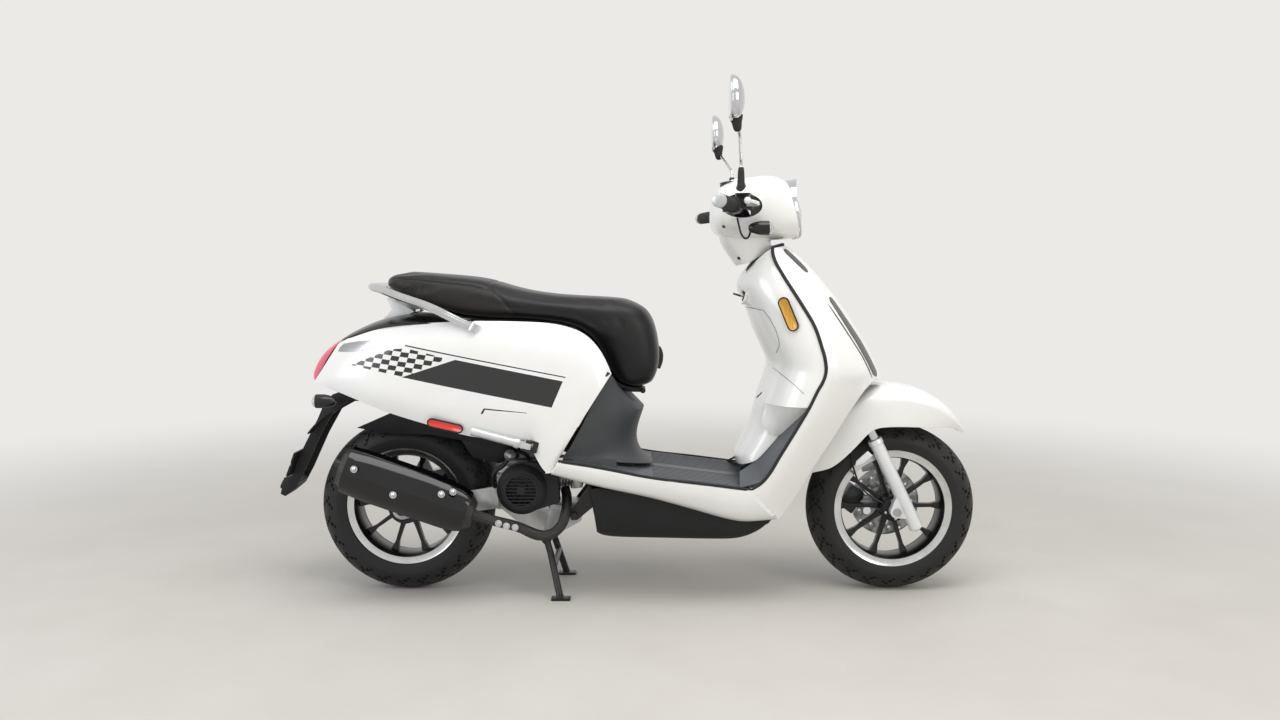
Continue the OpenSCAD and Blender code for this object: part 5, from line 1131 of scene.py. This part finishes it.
def shows_lens(face):
    """True for the large faces that look sideways, and for the one that looks back."""
    centre, normal = face.center, face.normal
    to_side = abs(normal.y) > 0.8 and normal.y * centre.y > 0 and centre.x > -0.8
    return (to_side or (centre.x < -0.8 and normal.x < -0.8)) and face.area > 0.0002


inset_faces(reflectors, shows_lens, {"thickness": 0.0024, "depth": 0},
            {"thickness": 0.0005, "depth": -0.0008})
for finish in (red_reflector, amber_reflector):
    reflectors.data.materials.append(finish)
lenses = [face for face in reflectors.data.polygons if face.select]
print("reflector lenses", [[round(v, 3) for v in face.center] for face in lenses])
for face in lenses:
    face.material_index = 2 if face.center.x > 0.2 else 1

# %% [markdown]
# ## Handlebar cowl
# The cowl is a moulded shell round the bar: a pod that holds the lamp, and a neck over the steering
# stem. Its outside and its inside are lofts. The two outsides are joined, the insides are taken away,
# and the openings for the grips, the mirrors and the gauge are cut last. A boolean modifier is the
# right tool here, because every opening passes through a double-curved wall.


# %% Cowl
cowl_wall = 3
ring_turns = [math.tau * k / 24 for k in range(24)]
gauge_place, gauge_lean = (294, 0, 1103), -7


def eased(value, power):
    """A sine or cosine pushed outward, which squares a round section."""
    return math.copysign(abs(value) ** power, value)


# Each section of the pod is (lower x, upper x, half width, lower z, upper z), from rear to front, and
# each of the neck is (rear x, rear z, front x, front z, half width), from the foot up.
pod_sections = [(224, 228, 24, 1014, 1056), (227, 238, 78, 996, 1074), (233, 248, 116, 978, 1091),
                (247, 263, 138, 964, 1101), (272, 290, 149, 956, 1110), (310, 322, 152, 953, 1117),
                (350, 352, 140, 953, 1123), (392, 384, 116, 954, 1125), (428, 408, 94, 956, 1118),
                (461, 424, 80, 960, 1108)]
neck_sections = [(301, 877, 393, 934, 58), (289, 893, 391, 940, 63), (266, 924, 389, 952, 66),
                 (250, 950, 398, 964, 70), (246, 985, 404, 990, 72)]


def pod_ring(section, inset=0, ahead=0):
    """One ring of the pod, drawn in by an inset and moved ahead."""
    low_x, high_x, half, low_z, high_z = section
    ring = []
    for turn in ring_turns:
        rise = (eased(math.sin(turn), 0.72) + 1) / 2
        ring.append((low_x + (high_x - low_x) * rise + ahead, -(half - inset) * eased(math.cos(turn), 0.78),
                     low_z + inset + (high_z - low_z - 2 * inset) * rise))
    return ring


def neck_ring(section, inset=0, drop=0):
    """One ring of the neck, drawn in by an inset and lowered by a drop."""
    rear_x, rear_z, front_x, front_z, half = section
    ring = []
    for turn in ring_turns:
        share = (1 + eased(math.sin(turn), 0.8)) / 2
        ring.append((rear_x + inset + (front_x - rear_x - 2 * inset) * share,
                     -(half - inset) * eased(math.cos(turn), 0.8),
                     rear_z - drop + (front_z - rear_z) * share))
    return ring


def cut(piece, cutter, operation="DIFFERENCE"):
    """Joins or cuts with another piece, which is used up."""
    modify(piece, "BOOLEAN", object=cutter, operation=operation, solver="EXACT")
    bpy.data.objects.remove(cutter)
    return piece


cowl = loft([pod_ring(s, -1.2) for s in pod_sections], creased=(-1,))
cut(cowl, loft([neck_ring(s, -0.3) for s in neck_sections]), "UNION")
inner_pod = [pod_ring(s, cowl_wall, cowl_wall if k < 4 else 0) for k, s in enumerate(pod_sections[:9])]
cut(cowl, loft([*inner_pod, pod_ring(pod_sections[9], cowl_wall, 10)], creased=(-1,)))
inner_neck = [neck_ring(s, cowl_wall) for s in neck_sections[1:]]
cut(cowl, loft([neck_ring(neck_sections[0], cowl_wall, 12), *inner_neck]))
for side, _ in SIDES:
    opening = [(246 + 52 * (1 + math.cos(a)), side * 205, 1036 + 31 * math.sin(a))
               for a in (math.tau * k / 48 for k in range(48))]
    cut(cowl, loft([opening, [(x, side * 96, z) for x, _, z in opening]], levels=0))
    cut(cowl, lathe([(0, 0), (12.5, 0), (12.5, 120), (0, 120)], (stem_x, side * stem_y, 1033), steps=32))
cut(cowl, lathe([(0, -25), (42.6, -25), (42.6, 35), (0, 35)], gauge_place, gauge_lean))
print("cowl", len(cowl.data.polygons), "faces after the cuts")
settle(cowl, "handlebar_cowl_shell", white_lacquer, "steering", 40, ("handlebar_cowl",))
for side, word in SIDES:
    spots = [outermost([cowl], x, z, side)[0] * 1000 for x, z in ((254, 985), (300, 905))]
    bolts("cowl_screw_" + word, black_screw, [tuple(spot) for spot in spots], "steering",
          (0, side, 0))
bpy.data.objects.remove(black_screw)

# %% [markdown]
# ## Gauge
# The speedometer is a black dial under a clear disc in a chrome ring. Its marks are printed, so they
# are drawn by the material from the angle and the distance about the dial's middle.


# %% Dial
def dial_print(centre, lean):
    """Black dial with a ring of white marks, from the angle about its axis."""
    material, shader, place = new_finish("printed_gauge_dial", Roughness=0.5)
    flat = add_node(material, "Mapping",
                    {"vector_type": "TEXTURE", "Location": centre, "Rotation": (0, math.radians(lean), 0)},
                    {"Vector": (place, "Object")})
    parts = add_node(material, "SeparateXYZ", links={"Vector": (flat, "Vector")})
    turn = add_node(material, "Math", {"operation": "ARCTAN2"}, {0: (parts, "Y"), 1: (parts, "X")})
    marks = add_node(material, "Math", {"operation": "PINGPONG", 1: math.radians(6)}, {0: (turn, 0)})
    mark = add_node(material, "Math", {"operation": "LESS_THAN", 1: math.radians(1.3)}, {0: (marks, 0)})
    spread = add_node(material, "CombineXYZ", links={"X": (parts, "X"), "Y": (parts, "Y")})
    radius = add_node(material, "VectorMath", {"operation": "LENGTH"}, {0: (spread, "Vector")})
    near = add_node(material, "Math", {"operation": "GREATER_THAN", 1: 0.027}, {0: (radius, "Value")})
    far = add_node(material, "Math", {"operation": "LESS_THAN", 1: 0.033}, {0: (radius, "Value")})
    rear = add_node(material, "Math", {"operation": "GREATER_THAN", 1: -0.022}, {0: (parts, "X")})
    ring = add_node(material, "Math", {"operation": "MULTIPLY"}, {0: (near, 0), 1: (far, 0)})
    arc = add_node(material, "Math", {"operation": "MULTIPLY"}, {0: (ring, 0), 1: (rear, 0)})
    printed = add_node(material, "Math", {"operation": "MULTIPLY"}, {0: (arc, 0), 1: (mark, 0)})
    tint = add_node(material, "Mix", {"data_type": "RGBA", 6: srgb("#101012"), 7: srgb("#e8e8e6")},
                    {0: (printed, 0)})
    return surface(material, shader, Base_Color=(tint, 2))


dial_face = dial_print([v / 1000 for v in gauge_place], gauge_lean)
turned_set(gauge_place, gauge_lean, "steering", [
    ("gauge_dial_face", dial_face, "dial", 64, [(0, 4.1), (36.6, 4.1), (36.6, 4.6), (0, 4.6)]),
    ("gauge_ring", chrome, "chrome", 96,
     [(36.4, 6.4), (41.6, 6.4), (43.6, 7.4), (43, 8.8), (40, 9.4), (37, 8.6), (36.4, 7.2), (36.4, 6.4)]),
    ("gauge_cover", clear_lens, "glass", 64,
     [(0, 7.6), (20, 7.4), (36.4, 6.8), (36.4, 6.2), (20, 6.6), (0, 6.8)]),
    ("gauge_needle_cap", smooth_black_abs, "black_plastic", 24,
     [(0, 4.7), (4, 4.7), (4, 5.6), (3, 6), (0, 6)]),
])
needle = plate([(-4, -1.6, 5.6), (2, -1.6, 5.6), (-14, 22, 5.6), (-16, 21, 5.6)], 0.5, bevel=0)
needle_turn = Matrix.Rotation(math.radians(gauge_lean), 4, "Y")
needle.matrix_world = Matrix.Translation(Vector(gauge_place) / 1000) @ needle_turn
settle(needle, "gauge_needle", red_reflector, "steering")

# %% [markdown]
# ## Seams and small openings
# Moulded panels meet with a gap of about a millimetre, which reads as a fine dark line. The lines of
# the storage lid and the lower cover are dark matt beads laid on the skin, half sunk: painted shade of the
# gaps.

# %% Panel lines
# Painted shade: a dark matt finish that stands for the shade inside a panel gap.
gap_shadow = grained("panel_gap_shadow", "#3c3c3c", "#2c2c2c", 0.9, 1.0, 0.02)
lid_line = [(318, 775), (340, 772), (358, 768), (374, 745), (386, 720), (394, 697), (397, 678), (390, 650)]
lower_line = [(352, 646), (382, 621), (410, 598), (433, 578), (460, 552)]
for side, word in SIDES:
    piping(lid_line, side, cover, 0.7, "storage_lid_gap_" + word, gap_shadow, "chassis")
    piping(lower_line, side, cover, 0.6, "inner_cover_gap_" + word, gap_shadow, "chassis")

# %% [markdown]
# ## Front wheel fittings
# The right fork leg carries a small bracket, and a gear housing on the hub drives the speedometer
# through a thin cable, which goes up behind the leg and under the fender.

# %% Front wheel fittings
axle_mm = [v * 1000 for v in front_axle]
drive = lathe([(0, 46.5), (30, 46.5), (33, 48.5), (33, 56), (29, 60), (20, 62), (14, 64), (0, 64)],
              axle_mm, sideways=True, steps=64)
settle(drive, "speedometer_drive", black_polypropylene, "fork_lower")
for number, (x, z) in enumerate([(20, 14), (-6, 24), (-23, -8), (4, -25)]):
    rib = lathe([(0, 60), (3.6, 60), (3.6, 62.6), (2.6, 63.4), (0, 63.4)],
                (axle_mm[0] + x, 0, axle_mm[2] + z),
                sideways=True, steps=20)
    settle(rib, f"drive_screw_{number}", zinc, "fork_lower")
settle(tube([(600, -62, 446), (602, -60, 410), (606, -58, 370), (614, -56, 336), (634, -56, 290),
             (664, -58, 262), (692, -60, 248)], 2.6), "speedometer_cable", hose_rubber, "fork_lower")
settle(plate(upright(-90, [(608, 354), (611, 368), (641, 395), (654, 383), (630, 362)]), 5, 0.8),
       "fork_leg_bracket", silver_paint, "fork_lower")

# %% [markdown]
# ## Engine fittings
# A breather hose runs beside the fan, below the valve that hangs under the peg, and two more hoses
# pass behind it.

# %% Engine fittings
valve = lathe([(0, 0), (9, 0), (14, 3), (15, 8), (15, 18), (12, 21), (9, 24), (5, 27), (0, 27)],
              (-306, -92, 386), sideways=True, steps=40)
settle(valve, "air_valve", cast_alloy, "power_unit")
hoses = {
    "breather_hose": (6, [(-306, -98, 384), (-326, -104, 357), (-346, -104, 342), (-354, -100, 322),
                          (-350, -90, 300), (-338, -80, 292)]),
    "valve_hose": (5, [(-306, -98, 384), (-288, -96, 392), (-268, -88, 386), (-256, -80, 366),
                       (-250, -72, 340)]),
    "carburettor_hose": (9, [(-300, -60, 424), (-340, -64, 432), (-380, -66, 426), (-420, -66, 410)]),
}
for name, (radius, route) in hoses.items():
    settle(tube(route, radius), name, hose_rubber, "power_unit")

# %% [markdown]
# ## Bar ends and lever cables
# A bright weight closes each end of the bar, and the cable of each lever makes a small loop below
# its housing before it runs into the cowl.

# %% Bar ends
cable_loop = [(285, 148, 1004), (289, 156, 982), (296, 160, 960), (306, 160, 952), (316, 154, 962),
              (318, 146, 976)]
for side, word in SIDES:
    weight = lathe([(0, 0), (16, 0), (17, 1.2), (17, 11), (15.4, 14.6), (11, 16.4), (0, 16.8)], steps=48)
    turn = Vector((-0.312, side * 0.95, 0)).to_track_quat("Z", "X").to_matrix().to_4x4()
    weight.matrix_world = Matrix.Translation(Vector((0.2249, side * 0.3435, 1.0328))) @ turn
    settle(weight, "bar_end_" + word, bright_alloy, "steering")
    settle(tube(sided(side, cable_loop), 2.6), "lever_cable_" + word, hose_rubber, "steering")

# %% [markdown]
# ## Foot well
# The grey floor moulding rises at its front between the white centre cover and the shield's edge, and
# the cover's full width narrows into the centre with a sloping shoulder.


# %% Foot well
def ruled(name, first, second, finish, bulge=0.0):
    """A sheet between two lines of points in mm, thickened inwards, that may bow out in its middle."""
    steps, rows, thick = 24, 10, 2.0
    points = []
    for i in range(steps + 1):
        start, end = along_line(first, i / steps), along_line(second, i / steps)
        side = 1 if start.y > 0 else -1
        for k in range(rows + 1):
            point = start.lerp(end, k / rows)
            point.y += side * bulge * math.sin(math.pi * (k / rows))
            points.append(point / 1000)
    settle(net(points, rows, Vector((-1, 0, 0)), thick), name, finish, "chassis", 50)


def seen_from_behind(y, z, fallback):
    """The cover's surface seen from behind at a width and a height in mm."""
    hit, spot, _, _ = cover.ray_cast(Vector((0, y / 1000, z / 1000)), Vector((1, 0, 0)))
    return tuple(spot * 1000) if hit else fallback


cover_foot = [(469, 194, 521), (450, 172, 500), (428, 146, 472), (404, 119, 442), (382, 113, 414),
              (361, 111, 389), (343, 109, 372), (300, 106, 342)]
toe_rim = [(478, 199, 548), (462, 199, 520), (440, 199, 482), (415, 199, 444), (390, 198, 402),
           (366, 197, 360), (346, 197, 332), (292, 196, 318)]
shoulder_foot = [(469, 195, 521), (450, 173, 500), (428, 147, 472), (404, 120, 442), (388, 117, 440),
                 (370, 114, 452), (356, 108, 480)]
for side, word in SIDES:
    ruled("toe_board_" + word, sided(side, cover_foot), sided(side, toe_rim), floor_plastic)
    shoulder_top = [seen_from_behind(side * y, 527, (470, side * y, 527))
                    for y in (194, 180, 165, 150, 135, 120, 105)]
    ruled("cover_shoulder_" + word, shoulder_top, sided(side, shoulder_foot), white_lacquer,
          bulge=3.0)
    ruled("apron_foot_" + word, sided(side, [(-176, 168, 400), (-100, 166, 392), (-24, 160, 384)]),
          sided(side, [(-176, 172, 374), (-100, 170, 366), (-24, 164, 356)]),
          grey_polypropylene)

# The slot is a dark bead in the gap shadow finish: painted shade of the opening.
piping([(352, 522), (358, 536), (365, 549)], -1, cover, 1.8, "cover_slot", gap_shadow, "chassis")

# %% [markdown]
# ## Small closures
# A black inner panel closes the space above the engine, the mudguard's rear corner is cut on a slope,
# and the sliders end below the fender so that the chromed fork tubes show.

# %% Small closures
for side, word, low in ((-1, "right", 0), (1, "left", 22)):
    panel = plate(upright(side * 70, [(-440, 420), (-300, 430), (-282, 404), (-286, 374 + low),
                                      (-340, 358 + low), (-410, 374 + low / 2)]), 3, 0.5)
    settle(panel, "inner_panel_" + word, black_polypropylene, "chassis")
guard_plate = bpy.data.objects["rear_mudguard_finished"]
corner = [(-760, 435.5), (-612, 500.6), (-612, 560), (-760, 560)]
cut(guard_plate, plate(upright(-78, corner), 12, 0, even=0.0))
only(guard_plate)
bpy.ops.object.shade_smooth_by_angle(angle=math.radians(32))
fork_rake = math.radians(26)
leg_foot, leg_ahead, leg_apart, slider_length = Vector((0.7032, 0, 0.2194)), 0.052, 0.079, 0.201
fork_up = Vector((-math.sin(fork_rake), 0, math.cos(fork_rake)))
slider_mouth = leg_foot + Vector((fork_up.z, 0, -fork_up.x)) * leg_ahead + fork_up * slider_length
sliders = bpy.data.objects["fork_sliders_finished"]
edit(sliders, (bpy.ops.mesh.bisect, {"plane_co": slider_mouth, "plane_no": fork_up, "clear_outer": True,
                                     "use_fill": False}))
for side, word in SIDES:
    ring = lathe([(14.8, -2), (18, -2), (19.6, 0), (19.6, 11), (18.4, 13), (15, 13), (14.8, -2)], steps=48)
    place = (slider_mouth + Vector((0, side * leg_apart, 0)) - fork_up * 0.012).to_tuple()
    ring.matrix_world = Matrix.Translation(place) @ Matrix.Rotation(-fork_rake, 4, "Y")
    settle(ring, "slider_cap_" + word, silver_paint, "fork_lower")
settle(tube([(84, 0, 664), (90, 0, 652), (91, 0, 630), (84, 0, 608)], 9), "seat_front_bumper", rubber, "seat")

# %% [markdown]
# ## Camera, light and floor
# The camera stands square to the machine's right side, a little above the middle and tipped down
# slightly. Three broad lamps and a pale world give plain soft light, and the floor is one pale plane
# that fades far off into the pale backdrop.

# %% Stage
scene = bpy.context.scene
camera = bpy.data.objects.new("camera", bpy.data.cameras.new("camera"))
scene.collection.objects.link(camera)
camera.location = (0.037, -2.705, 0.847)
camera.rotation_euler = (math.radians(85.4), 0, 0)
camera.data.lens = 28
camera.data.sensor_width = 36
scene.camera = camera


def soft_lamp(name, place, target, size, watts, colour):
    """A rectangular lamp in metres, turned towards a target."""
    lamp = bpy.data.objects.new(name, bpy.data.lights.new(name, "AREA"))
    scene.collection.objects.link(lamp)
    lamp.location = place
    lamp.rotation_euler = (Vector(target) - Vector(place)).to_track_quat("-Z", "Y").to_euler()
    lamp.data.shape = "RECTANGLE"
    lamp.data.size, lamp.data.size_y = size
    lamp.data.energy = watts
    lamp.data.color = srgb(colour)[:3]


soft_lamp("ceiling_lamp", (0.3, -0.9, 3.1), (0, 0, 0.4), (3.2, 1.6), 57, "#ffffff")
soft_lamp("side_lamp", (2.6, -2.6, 1.9), (0.2, 0, 0.5), (1.4, 1.8), 29, "#fffaf2")
soft_lamp("rear_lamp", (-2.8, -1.8, 1.7), (-0.3, 0, 0.5), (1.4, 1.8), 26, "#f4f8ff")


backdrop_colour = srgb("#eceae7")


def seen_directly(tree_owner):
    """A node that is 1 for the rays that show the background itself, and 0 for those that light."""
    path = add_node(tree_owner, "LightPath")
    seen = add_node(tree_owner, "Math", {"operation": "ADD"},
                    {0: (path, "Is Camera Ray"), 1: (path, "Is Glossy Ray")})
    return add_node(tree_owner, "Math", {"operation": "ADD", "use_clamp": True},
                    {0: (seen, 0), 1: (path, "Is Transmission Ray")})


world = bpy.data.worlds.new("studio")
world.use_nodes = True
light = world.node_tree.nodes["Background"]
light.inputs["Color"].default_value = srgb("#dfe0e1")
light.inputs["Strength"].default_value = 0.8
backdrop = add_node(world, "Background", {"Color": backdrop_colour, "Strength": 1.0})
sky = add_node(world, "MixShader",
               links={0: (seen_directly(world), 0), 1: (light, "Background"), 2: (backdrop, "Background")})
link(world, sky, "Shader", world.node_tree.nodes["World Output"], "Surface")
scene.world = world
scene.view_settings.view_transform = "Standard"


def studio_finish():
    """The floor takes the light and the shadow near the machine, and far off it fades into the
    backdrop, between the two radii in metres."""
    near_edge, far_edge = 1.1, 4.4
    material = grained("pale_studio_floor", "#cdc9c3", "#c6c2bb", 0.7, 3.0, 0.05, patch_mm=500)
    tree = material.node_tree
    shader = tree.nodes["Principled BSDF"]
    place = next(n for n in tree.nodes if n.type == "TEX_COORD")
    reach = add_node(material, "VectorMath", {"operation": "LENGTH"}, {0: (place, "Object")})
    far = add_node(material, "MapRange",
                   {"interpolation_type": "SMOOTHSTEP", "From Min": near_edge, "From Max": far_edge},
                   {"Value": (reach, "Value")})
    share = add_node(material, "Math", {"operation": "MULTIPLY"},
                     {0: (far, "Result"), 1: (seen_directly(material), 0)})
    haze = add_node(material, "Emission", {"Color": backdrop_colour, "Strength": 1.0})
    both = add_node(material, "MixShader", links={0: (share, 0), 1: (shader, "BSDF"), 2: (haze, "Emission")})
    link(material, both, "Shader", tree.nodes["Material Output"], "Surface")
    return material


bpy.ops.mesh.primitive_plane_add(size=60)
ground = bpy.context.object
edit(ground, (bpy.ops.mesh.subdivide, {"number_cuts": 3}))
settle(ground, "studio_floor", studio_finish())
ground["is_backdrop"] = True

# %% Finish
low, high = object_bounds()
print("visual box in metres", [round(v, 3) for v in (*low, *high)])
